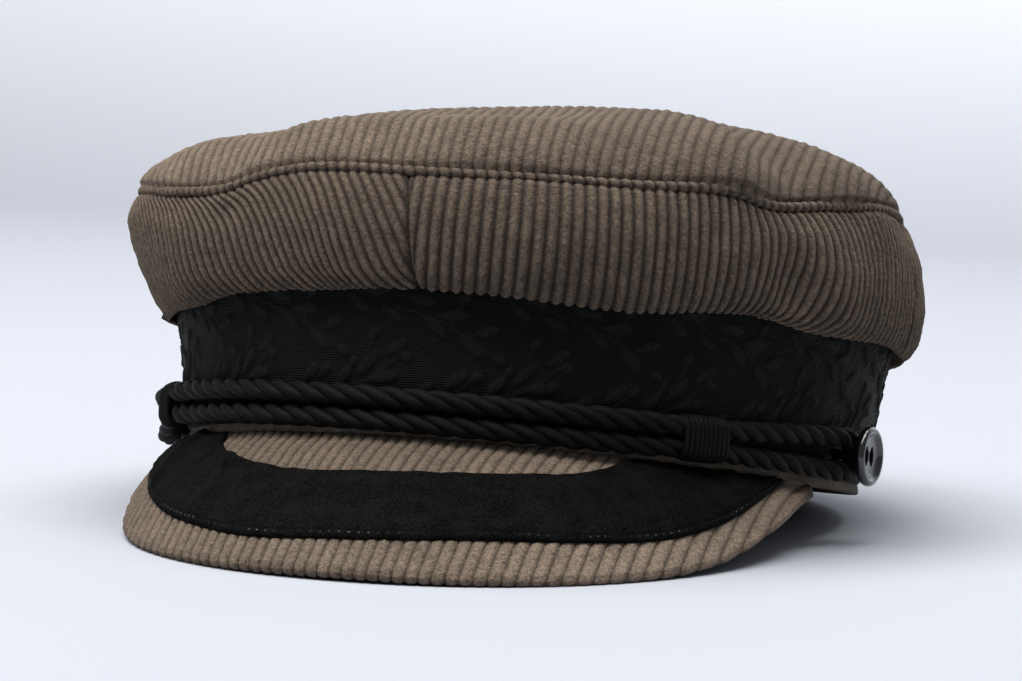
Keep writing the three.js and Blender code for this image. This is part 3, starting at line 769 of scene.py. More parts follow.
BRAID_GROOVE_IN = 2.3 * MM
BRAID_WARP_PITCH = 0.95  # millimetres
BRAID_WEFT_PITCH = 1.25
STITCH_GLINT = (0.075, 0.078, 0.075)
STITCH_PITCH = 2.2  # millimetres
STITCH_LINE_IN = 1.3


def stitch_glints(finish, along_mm, across_mm):
    """Painted glints: short bright threads in a line near the braid's outer edge, some of them catching
    light.
    """
    phase = finish.math("FRACT", finish.math("DIVIDE", along_mm, STITCH_PITCH))
    near_middle = finish.range(finish.away(phase, 0.5), 0.06, 0.13, 1, 0)
    on_line = finish.range(finish.away(across_mm, STITCH_LINE_IN), 0.12, 0.3, 1, 0)
    some = finish.range(finish.noise(70, 1), 0.46, 0.6)
    return finish.math("MULTIPLY", finish.math("MULTIPLY", near_middle, on_line), some)


def braid_finish():
    """Matte braid: a close upright weave with a little fluff. The weave's light and shade are painted into
    the colour, the groove near the outer edge is painted dark as painted shade, and some stitches carry
    painted glints.
    """
    finish = Finish("black_braid", Roughness=0.85, Sheen_Weight=0.0, Specular_IOR_Level=0.03)
    along_mm = finish.value("along")
    across_mm = finish.value("across")
    warp = finish.math("SINE", finish.math("MULTIPLY", along_mm, 2 * math.pi / BRAID_WARP_PITCH))
    weft = finish.math("SINE", finish.math("MULTIPLY", across_mm, 2 * math.pi / BRAID_WEFT_PITCH))
    weave = finish.math("MULTIPLY", warp, weft)
    fuzz = finish.range(finish.noise(1300, 3, roughness=0.7), 0.35, 0.65)
    patches = finish.range(finish.noise(180, 2), 0.35, 0.65)
    relief = finish.total((weave, 0.2), (fuzz, 0.6))
    # Painted light and shade of the weave, with random patches of tone
    lit = finish.range(finish.math("ADD", relief, finish.math("MULTIPLY", patches, 0.25)), 0.1, 0.8)
    lit_weave = finish.tones(lit, BLACK_BRAID, 0.2, 2.6)
    # Painted shade: a dark line along the groove near the outer edge
    groove = finish.range(finish.away(across_mm, BRAID_GROOVE_IN / MM), 0, 0.4)
    lit_weave = finish.blend(groove, tuple(c * 0.3 for c in BLACK_BRAID), lit_weave)
    # Painted glints on some of the stitches
    finish.color(finish.blend(stitch_glints(finish, along_mm, across_mm), lit_weave, STITCH_GLINT))
    finish.bump(relief, 0.35 * MM, 1.0)
    return finish.material


def cord_finish():
    """Satin rayon strands: fine threads that run along each strand."""
    finish = Finish("black_cord", Roughness=0.55, Sheen_Weight=0.0, Specular_IOR_Level=0.075)
    threads = finish.value("thread", "Vector")
    fine = finish.noise(2.4, 3, place=threads)
    finish.color(finish.tones(finish.range(fine, 0.3, 0.7), BLACK_CORD, 0.6, 1.6))
    finish.bump(fine, 0.18 * MM, 0.8)
    return finish.material


def button_finish():
    finish = Finish("black_plastic", Base_Color=(0.0045, 0.0045, 0.005, 1.0), Roughness=0.16,
                    Specular_IOR_Level=0.6, Coat_Weight=0.5, Coat_Roughness=0.06)
    wear = finish.noise(900, 4)
    finish.feed(finish.shader.inputs["Roughness"], finish.range(wear, 0.3, 0.7, 0.12, 0.24))
    finish.bump(finish.noise(160, 2), 0.25 * MM, 0.15)
    return finish.material


CORDUROY = corduroy_finish()
RIBBON = ribbon_finish()
BRAID = braid_finish()
CORD = cord_finish()
BUTTON = button_finish()


# Crown side

SIDE_ROWS = np.concatenate([
    np.linspace(0, 2.4, 11)[:-1],
    np.linspace(2.4, 3.6, 19)[:-1],
    np.linspace(3.6, PROFILE_END, 61),
])
INNER_ROW_STEP = 4
SEAM_GROOVE_DEPTH = 0.8 * MM
SEAM_GROOVE_WIDTH = 0.7 * MM
JOIN_TURN_IN = 0.6 * MM
JOIN_TURN_LENGTH = 1.2 * MM
SEAM_MEETING = 0.85  # share of the model's clearance that the cloth closes at the top seam

# Dents and swells of the side, by angle and profile stop: depth, width round the hat and
# height along the profile (in stops)
SIDE_DENTS = [  # angle, stop, out (mm), half width (mm), half height (stops)
    (57, 4.75, -2.8, 8.0, 0.8),
    (53, 3.7, -0.8, 8.0, 0.8),
    (67, 4.7, 1.2, 8.0, 1.0),
    (46, 4.4, 0.9, 8.0, 1.2),
    (-28, 5.6, -0.9, 10.0, 0.8),
    (-40, 4.2, 0.8, 14.0, 1.2),
    (-78, 4.2, 1.9, 24.0, 0.8),
    (-74, 3.0, -1.9, 18.0, 0.7),
    (84, 3.0, -1.2, 14.0, 0.45),
    (-100, 4.0, 1.0, 18.0, 1.0),
    (130, 4.6, -1.4, 10.0, 1.0),
    (-140, 4.8, -1.2, 12.0, 1.0),
    (168, 4.2, 0.8, 12.0, 1.2),
]


TURN_ANGLES = np.linspace(-math.pi, math.pi, 2881)
SEAM_ARC = lengths_along(crown_edge(TURN_ANGLES))
SIDE_WALES = int(round(SEAM_ARC[-1] / WALE_PITCH))


def seam_angle(degrees, height):
    """Where an upright seam lies at a height share of the side."""
    aside = SEAM_ASIDE if degrees == 0 else 0
    return np.radians(degrees + aside + SEAM_LEANS[degrees] * (0.5 - height))


def side_dents(angle, stop, reach):
    total = np.zeros(len(angle))
    for degrees, place, out, width, height in SIDE_DENTS:
        away = turned_from(angle, degrees)
        total += out * MM * bell(away * reach / (width * MM)) * bell((stop - place) / height)
    return total


def crown_quarter(name):
    start, end = QUARTER_TURNS[name]
    runs = np.array(WALE_RUNS[name], float)
    margin = math.radians(16)
    low_phase, high_phase = np.interp(
        (math.radians(start) - margin, math.radians(end) + margin),
        TURN_ANGLES,
        SEAM_ARC * SIDE_WALES / SEAM_ARC[-1],
        left=0,
        right=SIDE_WALES,
    )
    # Wales past the seam at -180 or 180 degrees only serve to fill the corner there
    phases = wale_columns(int(low_phase) - 8, int(high_phase) + 8)
    arc = phases / SIDE_WALES * SEAM_ARC[-1]
    step = SEAM_ARC[-1] / 360
    base = np.interp(arc, SEAM_ARC, TURN_ANGLES)
    base = np.where(arc < 0, -math.pi + arc / step * math.pi / 180, base)
    base = np.where(arc > SEAM_ARC[-1], math.pi + (arc - SEAM_ARC[-1]) / step * math.pi / 180, base)
    height = np.clip((SIDE_ROWS - PROFILE_FOLD) / (PROFILE_END - PROFILE_FOLD), 0, 1)
    middle_place = 0.55
    by_middle = height * (1 - height) / (middle_place * (1 - middle_place))
    by_bottom = (1 - height) * (middle_place - height) / middle_place
    degrees = np.clip(np.degrees(base), start, end)
    middle = smooth_through(runs[:, 0], runs[:, 1], degrees, 0, 0)
    bottom = smooth_through(runs[:, 0], runs[:, 2], degrees, 0, 0)
    shift = (middle[:, None] * by_middle + bottom[:, None] * by_bottom) * MM
    reach = np.hypot(
        (HEM_HALF_WIDTH + CROWN_OVERHANG) * np.cos(base),
        (HEM_HALF_LENGTH + CROWN_OVERHANG) * np.sin(base),
    )
    angle = base[:, None] + shift / reach[:, None]
    left = seam_angle(start, height)[None] + 0 * angle
    right = seam_angle(end, height)[None] + 0 * angle
    inside = (angle > left) & (angle < right)
    used = np.flatnonzero(inside.any(1))
    per_wale = len(WALE_STOPS)
    first = (used[0] // per_wale) * per_wale
    last = -(-used[-1] // per_wale) * per_wale
    keep = slice(first, last + 1)
    angle = np.clip(angle, left, right)[keep]
    inside = inside[keep]
    columns, rows = angle.shape
    stop = np.broadcast_to(SIDE_ROWS, angle.shape)
    flat_angle = angle.ravel()
    flat_stop = stop.ravel().astype(float)
    point, normal = side_surface(flat_angle, flat_stop)
    relief = wale_relief(phases[keep], SIDE_ROUNDNESS)[:, None] * inside
    reach = np.broadcast_to(reach[keep, None], angle.shape)
    seam_gap = np.minimum(angle - left[keep], right[keep] - angle) * reach
    relief = relief * smoothstep(seam_gap / (0.5 * WALE_PITCH) + 0.15) * inside
    top = side_point(flat_angle, np.full(len(flat_angle), float(PROFILE_END)))
    join_gap = np.linalg.norm(point - top, axis=1)
    # The last row nearly meets the top panel, so that no light comes through the seam
    meeting = (flat_stop == PROFILE_END)[:, None] * SEAM_MEETING
    point = point + (crown_edge(flat_angle) - top) * meeting
    lift = (relief.ravel() - WALE_MIDDLE) * WALE_DEPTH * (0.75 + 0.25 * smoothstep(join_gap / (4 * MM)))
    lift -= SEAM_GROOVE_DEPTH * bell(seam_gap.ravel() / SEAM_GROOVE_WIDTH)
    lift -= JOIN_TURN_IN * (1 - smoothstep(join_gap / JOIN_TURN_LENGTH))
    lift += side_dents(flat_angle, flat_stop, reach.ravel())
    shown = smoothstep((flat_stop - 1.5) / 1.0)
    lift += shown * (0.45 * MM * ripple(point, 42 * MM, 3) + 0.12 * MM * ripple(point, 7 * MM, 4))
    lift += fuzz(point, PILE, 5)
    lift *= smoothstep((flat_stop + 0.4) / 1.5)
    outer = (point + normal * lift[:, None]).reshape(columns, rows, 3)
    inner_lift = side_dents(flat_angle, flat_stop, reach.ravel()) * smoothstep((flat_stop - 2) / 1.5)
    inner = (point + normal * (inner_lift - CROWN_WALL - INNER_GAP)[:, None]).reshape(columns, rows, 3)
    inner = inner[::per_wale, ::INNER_ROW_STEP]
    points, faces = shell(outer, inner, per_wale, INNER_ROW_STEP)
    # The valleys between the wales are darkened: partly the sparser pile's own colour, partly painted shade
    pile_and_shade = with_inner(mix(SIDE_VALLEY, 1, relief), inner, INNER_NAP)
    # Painted shade: the crown's side is painted darker all round
    painted_light = np.full(len(pile_and_shade), SIDE_PAINTED_LIGHT)
    return piece(
        name + "_cloth", points, faces, CORDUROY, [name], {"pile_and_shade": pile_and_shade, "painted_light": painted_light}, merge=MERGE,
    )


# Crown top

TOP_TURN = math.radians(-8)  # the top panel's wales run nearly front to back
TOP_ROWS = 113
TOP_SIDE_RISE = 0.018
TOP_DENTS = [  # angle, share, out (mm), half width along the edge (mm), half width in share
    (-45, 0.9, 0.9, 30.0, 0.06),
    (-20, 0.88, 1.3, 30.0, 0.055),
    (10, 0.88, 1.2, 30.0, 0.055),
    (-25, 0.7, -1.5, 30.0, 0.12),
    (15, 0.7, -1.4, 30.0, 0.12),
    (49, 0.93, 1.3, 8.0, 0.13),
    (59, 0.93, -1.7, 8.0, 0.13),
    (70, 0.92, 0.7, 8.0, 0.13),
    (150, 0.6, -1.5, 25.0, 0.2),
    (-120, 0.8, -1.6, 20.0, 0.15),
]


def dome_place(x, y):
    """The angle and share of a plan point inside the top panel's edge."""
    out = CROWN_OVERHANG + 0 * x
    for _ in range(4):
        angle = np.arctan2(x / (HEM_HALF_WIDTH + out), -y / (HEM_HALF_LENGTH + out))
        out = CROWN_OVERHANG * crown_share("seam_out", angle)
    edge = crown_edge(angle)
    return angle, np.hypot(x, y) / np.hypot(edge[:, 0], edge[:, 1])


def dome_height(x, y):
    angle, share = dome_place(x, y)
    edge = crown_edge(angle)
    return mix(edge[:, 2], DOME_HEIGHT + DOME_LEAN * x, dome_rise(edge, np.minimum(share, 1)))


def crown_top():
    along = np.array([math.sin(TOP_TURN), math.cos(TOP_TURN)])
    across = np.array([math.cos(TOP_TURN), -math.sin(TOP_TURN)])
    edge = crown_edge(TURN_ANGLES[:-1])
    u_edge = edge[:, :2] @ across
    w_edge = edge[:, :2] @ along
    inset = 0.9995
    u_low, u_high = u_edge.min() * inset, u_edge.max() * inset
    # The wales keep their pitch along the cloth, so over the shoulders they close up in plan
    u_fine = np.linspace(u_low, u_high, 1601)
    middle = np.array([w_edge[np.argmin(u_edge)], w_edge[np.argmax(u_edge)]])
    w_line = np.interp(u_fine, [u_low, u_high], middle)
    plan = u_fine[:, None] * across + w_line[:, None] * along
    height = dome_height(plan[:, 0], plan[:, 1])
    arc = np.concatenate([[0], np.cumsum(np.hypot(np.diff(u_fine), np.diff(height)))])
    wales = int(round(arc[-1] / WALE_PITCH))
    phases = wale_columns(0, wales)
    u = np.interp(phases / wales * arc[-1], arc, u_fine)
    front = w_edge < np.interp(u_edge, [u_low, u_high], middle)
    front_order = np.argsort(u_edge[front])
    back_order = np.argsort(u_edge[~front])
    w_front = np.interp(u, u_edge[front][front_order], w_edge[front][front_order])
    w_back = np.interp(u, u_edge[~front][back_order], w_edge[~front][back_order])
    row_turn = np.linspace(-math.pi / 2, math.pi / 2, TOP_ROWS)
    chord = (np.sin(row_turn) * (0.9 + 0.1 * np.cos(row_turn) ** 2) + 0.0)
    chord = chord / chord[-1]
    w = (w_front + w_back)[:, None] / 2 + (w_back - w_front)[:, None] / 2 * chord[None]
    columns, rows = w.shape
    x = (u[:, None] * across[0] + w * along[0]).ravel()
    y = (u[:, None] * across[1] + w * along[1]).ravel()
    angle, share = dome_place(x, y)
    share = np.minimum(share, 1.0)
    point = dome_point(angle, share)
    step = 0.004
    near = np.minimum(share, 1 - step)
    rising = dome_point(angle, np.maximum(near - step, 0)) - dome_point(angle, near + step)
    off_axis = np.maximum(near, 0.02)
    turning = dome_point(angle + step, off_axis) - dome_point(angle - step, off_axis)
    normal = unit(np.cross(turning, rising))
    normal[share < 0.02] = (0, 0, 1)
    relief = np.broadcast_to(wale_relief(phases, TOP_ROUNDNESS)[:, None], w.shape).ravel()
    edge_point = dome_point(angle, np.ones(len(angle)))
    join_gap = np.linalg.norm(point - edge_point, axis=1)
    lift = (relief - WALE_MIDDLE) * WALE_DEPTH * TOP_WALE_DEPTH
    lift -= (JOIN_TURN_IN + 0.2 * MM) * (1 - smoothstep((join_gap - 2.2 * MM) / JOIN_TURN_LENGTH))
    shape = np.zeros(len(angle))
    for degrees, place, out, width, depth in TOP_DENTS:
        away = turned_from(angle, degrees)
        reach = 105 * MM * share
        shape += out * MM * bell(away * reach / (width * MM)) * bell((share - place) / depth)
    # The top panel sits a little higher on the wearer's left, inside its seam
    shape += TOP_SIDE_RISE * point[:, 0] * (1 - share**4) + 0.7 * MM * ripple(point, 55 * MM, 11)
    lift += shape + 0.12 * MM * ripple(point, 7 * MM, 12) + fuzz(point, PILE, 13)
    outer = (point + normal * lift[:, None]).reshape(columns, rows, 3)
    under = (point + normal * (shape - CROWN_WALL - INNER_GAP)[:, None]).reshape(columns, rows, 3)
    per_wale = len(WALE_STOPS)
    inner = under[::per_wale, ::INNER_ROW_STEP]
    points, faces = shell(outer, inner, per_wale, INNER_ROW_STEP)
    # The valleys are darkened less than on the side, as light from above fills them: partly the pile's own
    # colour, partly painted shade
    pile_and_shade = with_inner(mix(PALE_VALLEY, 1, relief), inner, INNER_NAP)
    # Painted light: the top panel is painted lighter towards the wearer's right and darker towards the
    # wearer's left
    painted_light = TOP_PAINTED_LIGHT - TOP_PAINTED_LIGHT_TURN * points[:, 0] / HEM_HALF_WIDTH
    return piece(
        "crown_top_cloth", points, faces, CORDUROY, ["crown_top"],
        {"pile_and_shade": pile_and_shade, "painted_light": painted_light}, merge=MERGE,
    )


SEAM_STRIP_WIDTH = 2.5 * MM
SEAM_STRIP_THICKNESS = 2.6 * MM
SEAM_STRIP_SINK = 0.9 * MM
SEAM_STRIP_TOP = 1 - 0.0055  # share of the dome that the strip leans towards
SEAM_STRIP_OVERLAP = 0.35 * MM
SEAM_BEAD_PITCH = 2.9 * MM
SEAM_BEAD_SLANT = 0.12  # beads' shift across the strip, in beads


def seam_strip():
    """The narrow turned strip between the two stitched lines of the top seam, which the
    wales cross as beads."""
    beads = int(round(SEAM_ARC[-1] / SEAM_BEAD_PITCH))
    per_bead = 10
    steps = beads * per_bead
    sides = 14
    arc = np.arange(steps) / steps * SEAM_ARC[-1]
    angle = np.interp(arc, SEAM_ARC, TURN_ANGLES)
    low = crown_edge(angle)
    above = dome_point(angle, np.full(steps, SEAM_STRIP_TOP))
    up = unit(above - low)
    centre = low + up * (SEAM_STRIP_WIDTH / 2 - SEAM_STRIP_OVERLAP)
    ahead = unit(np.roll(centre, -1, 0) - np.roll(centre, 1, 0))
    out = unit(np.cross(ahead, up))
    turn = full_turn(sides)
    across = np.cos(turn)
    phase = arc[:, None] / SEAM_ARC[-1] * beads + SEAM_BEAD_SLANT * across[None]
    relief = wale_relief(phase, 0.8)
    swell = 0.6 + 0.4 * relief
    half_width = SEAM_STRIP_WIDTH / 2 * (1 + 0.04 * np.sin(angle * 37))[:, None]
    half_depth = SEAM_STRIP_THICKNESS / 2
    grid = (
        centre[:, None]
        + up[:, None] * (across[None] * half_width * (0.72 + 0.28 * relief))[..., None]
        + out[:, None] * (np.sin(turn)[None] * half_depth * swell)[..., None]
        - out[:, None] * SEAM_STRIP_SINK
    )
    grid = grid + out[:, None] * fuzz(grid, 1.4 * PILE, 21)[..., None]
    faces = tube_faces(steps, sides, closed=True)
    # Painted shade: the seam strip is painted a little darker all round
    # The valleys between the beads are darkened: partly the sparser pile's own colour, partly painted shade
    return piece(
        "crown_seam_strip", grid.reshape(-1, 3), faces, CORDUROY, (),
        {"pile_and_shade": relief.ravel(), "painted_light": np.full(relief.size, STRIP_PAINTED_LIGHT)},
    )


# Band, hem and ribbon

def ring_shell(name, outer_pairs, inner_pairs, material, nodes, steps, shift=None, values=None):
    """A band all the way round from (out, up) pairs of its outer and inner faces."""
    angle = full_turn(steps) - math.pi
    outer = np.stack([band_point(angle, out, up) for out, up in outer_pairs], 1)
    inner = np.stack([band_point(angle, out, up) for out, up in inner_pairs], 1)
    if shift is not None:
        outer = shift(angle, outer)
    index = grid_index(steps, len(outer_pairs) + len(inner_pairs))
    index = np.concatenate([index, index[:, :1]], axis=1)
    index = np.concatenate([index, index[:1]])
    grid = np.concatenate([outer, inner], axis=1)
    return piece(name, on_floor(grid.reshape(-1, 3)), quads(index), material, nodes, values, world=True)


def hem_and_band():
    """The cloth hem roll with its stitched groove, and the band wall behind the ribbon."""
    steps = 960
    recess = RIBBON_WALL + CLEARANCE
    lining = recess + BAND_WALL
    hem = HEM_HEIGHT
    roll = 0.5 * hem
    outer = []
    for turn in np.linspace(-0.5, 0.5, 9):
        out = roll * 0.55 * (math.cos(turn * math.pi) - 1)
        up = roll + roll * math.sin(turn * math.pi)
        outer.append((out, up))
    outer.append((-0.5 * MM, hem + 0.12 * MM))
    outer.append((flare_at(hem) - recess, hem + 0.1 * MM))
    outer.append((flare_at(BAND_HEIGHT) - recess, BAND_HEIGHT))
    inner = [
        (flare_at(BAND_HEIGHT) - lining, BAND_HEIGHT),
        (flare_at(0.5 * BAND_HEIGHT) - lining, 0.5 * BAND_HEIGHT),
        (flare_at(hem) - lining, hem),
        (-lining + 0.1 * MM, 0.3 * hem),
        (-lining + 0.5 * MM, 0),
    ]

    def shift(angle, grid):
        up = np.array([pair[1] for pair in outer])
        groove = 0.3 * MM * bell((up - 0.62 * hem) / (0.16 * hem))
        wave = 0.12 * MM * np.sin(angle * 61) + 0.1 * MM * np.sin(angle * 143 + 1)
        pile = fuzz(grid, PILE, 31)
        out = unit(grid[:, 3] * (1, 1, 0))
        low = up < 1.1 * hem
        grid = grid + out[:, None] * ((wave[:, None] + pile - groove) * low)[..., None]
        return grid

    count = len(outer) + len(inner)
    pile_and_shade = np.full((steps, count), 0.7)
    pile_and_shade[:, len(outer):] = 0.35
    turn = full_turn(steps) - math.pi
    # Painted light: the hem is painted lighter against the cords' shadow on it, most on the wearer's right
    painted_light = np.repeat(HEM_PAINTED_LIGHT - HEM_PAINTED_LIGHT_TURN * np.sin(turn), count)
    return ring_shell(
        "head_band_cloth", outer, inner, HEM_CLOTH, ["head_band"], steps, shift,
        {"pile_and_shade": pile_and_shade.ravel(), "painted_light": painted_light},
    )


def hem_finish():
    """The hem's cloth lies on its side, so its pile is flat and without wales; it is painted paler, as
    painted light against the shadow of the cords above it.
    """
    finish = Finish("hem_cloth", Roughness=0.95, Sheen_Weight=0.12, Sheen_Roughness=0.5,
                    Sheen_Tint=(0.9, 0.8, 0.7, 1.0), Specular_IOR_Level=0.08)
    broad = finish.noise(120, 3)
    grain = finish.noise(1800, 4, roughness=0.8)
    tops = finish.blend(finish.range(broad, 0.3, 0.7), (0.085, 0.069, 0.054), (0.15, 0.125, 0.098))
    cloth = finish.blend(finish.range(grain, 0.35, 0.65, 0.0, 0.7), tops, CLOTH_DARK)
    # Painted light: the hem's tone, lighter against the cords' shadow on it
    finish.color(finish.with_painted_light(cloth))
    finish.bump(grain, 0.9 * MM, 0.9)
    return finish.material


HEM_CLOTH = hem_finish()

# The ribbon's woven sprays, charted: a repeat holds an upper and a lower spray
RIBBON_REPEATS = 16
RIBBON_COLUMNS = 1056
RIBBON_ROWS = 53
MEASURED_HEIGHT = 20 * MM  # where the ribbon's length round the band is taken
LEAF_SIZE = 1.22
LEAF_RELIEF = 0.6 * MM
STEM_RELIEF = 0.45 * MM
STEM_SHINE = 0.6  # how much of the leaves' satin threads and painted satin sheen a stem has
# Leaves: place along the repeat and up the ribbon (shares), length and width (mm), lean
# (degrees), lobes
RIBBON_LEAVES = [
    (0.10, 0.87, 6.6, 3.2, -8, 3),
    (0.19, 0.70, 6.2, 3.0, -42, 3),
    (0.30, 0.78, 6.8, 3.3, 6, 3),
    (0.41, 0.58, 6.4, 3.1, -38, 3),
    (0.51, 0.68, 5.8, 2.8, 18, 2),
    (0.58, 0.31, 6.4, 3.1, 48, 3),
    (0.69, 0.20, 6.6, 3.2, 8, 3),
    (0.76, 0.42, 6.4, 3.1, 46, 3),
    (0.87, 0.33, 6.6, 3.2, 12, 3),
    (0.95, 0.54, 5.8, 2.8, 34, 2),
    (0.12, 0.24, 6.0, 3.0, 36, 3),
    (0.25, 0.13, 6.4, 3.1, -4, 3),
    (0.34, 0.34, 5.8, 2.9, 40, 2),
    (0.70, 0.84, 6.0, 3.0, -36, 3),
    (0.82, 0.93, 6.2, 3.0, 4, 3),
    (0.92, 0.77, 5.6, 2.8, -30, 2),
]
# Acorns: place, height (shares), size (mm), lean (degrees)
RIBBON_ACORNS = [
    (0.60, 0.50, 3.2, -30),
    (0.37, 0.90, 3.0, 20),
    (0.81, 0.63, 3.1, 40),
    (0.66, 0.43, 2.8, 60),
    (0.46, 0.37, 3.0, 30),
    (0.02, 0.48, 2.8, -20),
]
# Stems: start place and height, end place and height (shares), bow (mm)
RIBBON_STEMS = [
    (0.00, 0.80, 0.57, 0.50, 1.6),
    (0.48, 0.18, 1.00, 0.52, -1.8),
    (0.04, 0.10, 0.44, 0.36, -1.4),
    (0.60, 0.92, 0.98, 0.80, 1.2),
    (0.30, 0.68, 0.37, 0.88, 0.4),
    (0.76, 0.50, 0.81, 0.62, -0.3),
]


def ribbon_relief(along, up, repeat, height):
    """Heights of the woven sprays and how far a place is covered by leaf, from lengths in
    millimetres within one repeat."""
    leaf = np.zeros(along.shape)
    stem = np.zeros(along.shape)
    for copy in (-1, 0, 1):
        for place, level, length, width, lean, lobes in RIBBON_LEAVES:
            dx = along - (place + copy) * repeat
            dy = up - level * height
            turn = math.radians(lean)
            forward = (dx * math.cos(turn) + dy * math.sin(turn)) / (length * LEAF_SIZE / 2)
            aside = (dy * math.cos(turn) - dx * math.sin(turn)) / (width * LEAF_SIZE / 2)
            body = np.sqrt(np.clip(1 - forward**2, 0, 1)) * (0.8 + 0.2 * forward)
            lobed = body * (0.74 + 0.26 * np.abs(np.cos(forward * lobes * math.pi / 1.3)))
            inside = smoothstep((lobed - np.abs(aside)) / 0.3)
            vein = 1 - 0.45 * bell(aside / 0.16)
            leaf = np.maximum(leaf, inside * vein * (np.abs(forward) < 1))
        for place, level, size, lean in RIBBON_ACORNS:
            dx = along - (place + copy) * repeat
            dy = up - level * height
            turn = math.radians(lean)
            forward = (dx * math.cos(turn) + dy * math.sin(turn)) / (size * 0.62)
            aside = (dy * math.cos(turn) - dx * math.sin(turn)) / (size * 0.42)
            nut = smoothstep((1 - forward**2 - aside**2) * 1.4)
            cap = 1 - 0.5 * bell((forward + 0.35) / 0.14)
            leaf = np.maximum(leaf, nut * cap)
        for x0, y0, x1, y1, bow in RIBBON_STEMS:
            ax = (x0 + copy) * repeat
            bx = (x1 + copy) * repeat
            ay, by = y0 * height, y1 * height
            length = math.hypot(bx - ax, by - ay)
            dx, dy = (bx - ax) / length, (by - ay) / length
            t = (along - ax) * dx + (up - ay) * dy
            side = (up - ay) * dx - (along - ax) * dy
            share = np.clip(t / length, 0, 1)
            off = np.hypot(side - bow * 4 * share * (1 - share), t - share * length)
            stem = np.maximum(stem, bell(off / 0.42))
    return leaf, stem


def band_ribbon():
    angle = full_turn(RIBBON_COLUMNS) - math.pi
    bottom = HEM_HEIGHT + CLEARANCE
    top = BAND_HEIGHT - RIBBON_TOP_MARGIN
    heights = np.linspace(bottom, top, RIBBON_ROWS)
    fine = np.linspace(-math.pi, math.pi, 3601)
    arc = lengths_along(band_point(fine, flare_at(MEASURED_HEIGHT), MEASURED_HEIGHT)) / MM
    along = np.interp(angle, fine, arc)
    repeat = arc[-1] / RIBBON_REPEATS
    within = (along % repeat)[:, None] + 0 * heights[None]
    up = (heights - bottom)[None] / MM + 0 * within
    leaf, stem = ribbon_relief(within, up, repeat, (top - bottom) / MM)
    grid = np.stack([band_point(angle, flare_at(h), h) for h in heights], 1)
    out = unit(np.stack([np.sin(angle) / HEM_HALF_WIDTH, -np.cos(angle) / HEM_HALF_LENGTH, 0 * angle], -1))
    lift = np.maximum(leaf * LEAF_RELIEF, stem * STEM_RELIEF) - 0.1 * MM
    lift += 0.15 * MM * ripple(grid, 23 * MM, 41) + 0.05 * MM * ripple(grid, 6 * MM, 42)
    edge = np.minimum(up, up[:, ::-1])
    lift -= 0.3 * MM * bell(edge / 0.7)
    outer = grid + out[:, None] * lift[..., None]
    inner = grid - out[:, None] * (RIBBON_WALL - 0.1 * MM)
    inner = inner[::4, [0, -1]]
    points, faces = shell(outer, inner, 4, RIBBON_ROWS - 1, round_trip=True)
    values = {
        "leaf": with_inner(np.maximum(leaf, STEM_SHINE * stem), inner),
        "height": with_inner(up, inner),
        "along": with_inner(along[:, None] + 0 * up, inner),
    }
    return piece("band_ribbon_weave", points, faces, RIBBON, ["band_ribbon"], values)


# Peak

PEAK_SURFACE_ROWS = 71
PEAK_ROLL_ROWS = 10
PEAK_UNDER_ROWS = 8
ROOT_RISE = 1.0 * MM  # the covered peak swells up against the hem


def place_at_width(width, share):
    """The place along the peak that lies at a distance to the side, for each share row."""
    fine = np.sin(np.linspace(-0.5, 0.5, 1201) * math.pi)
    places = np.empty((len(width), len(share)))
    for j, row in enumerate(share):
        places[:, j] = np.interp(width, peak_point(fine, row)[:, 0], fine)
    return places


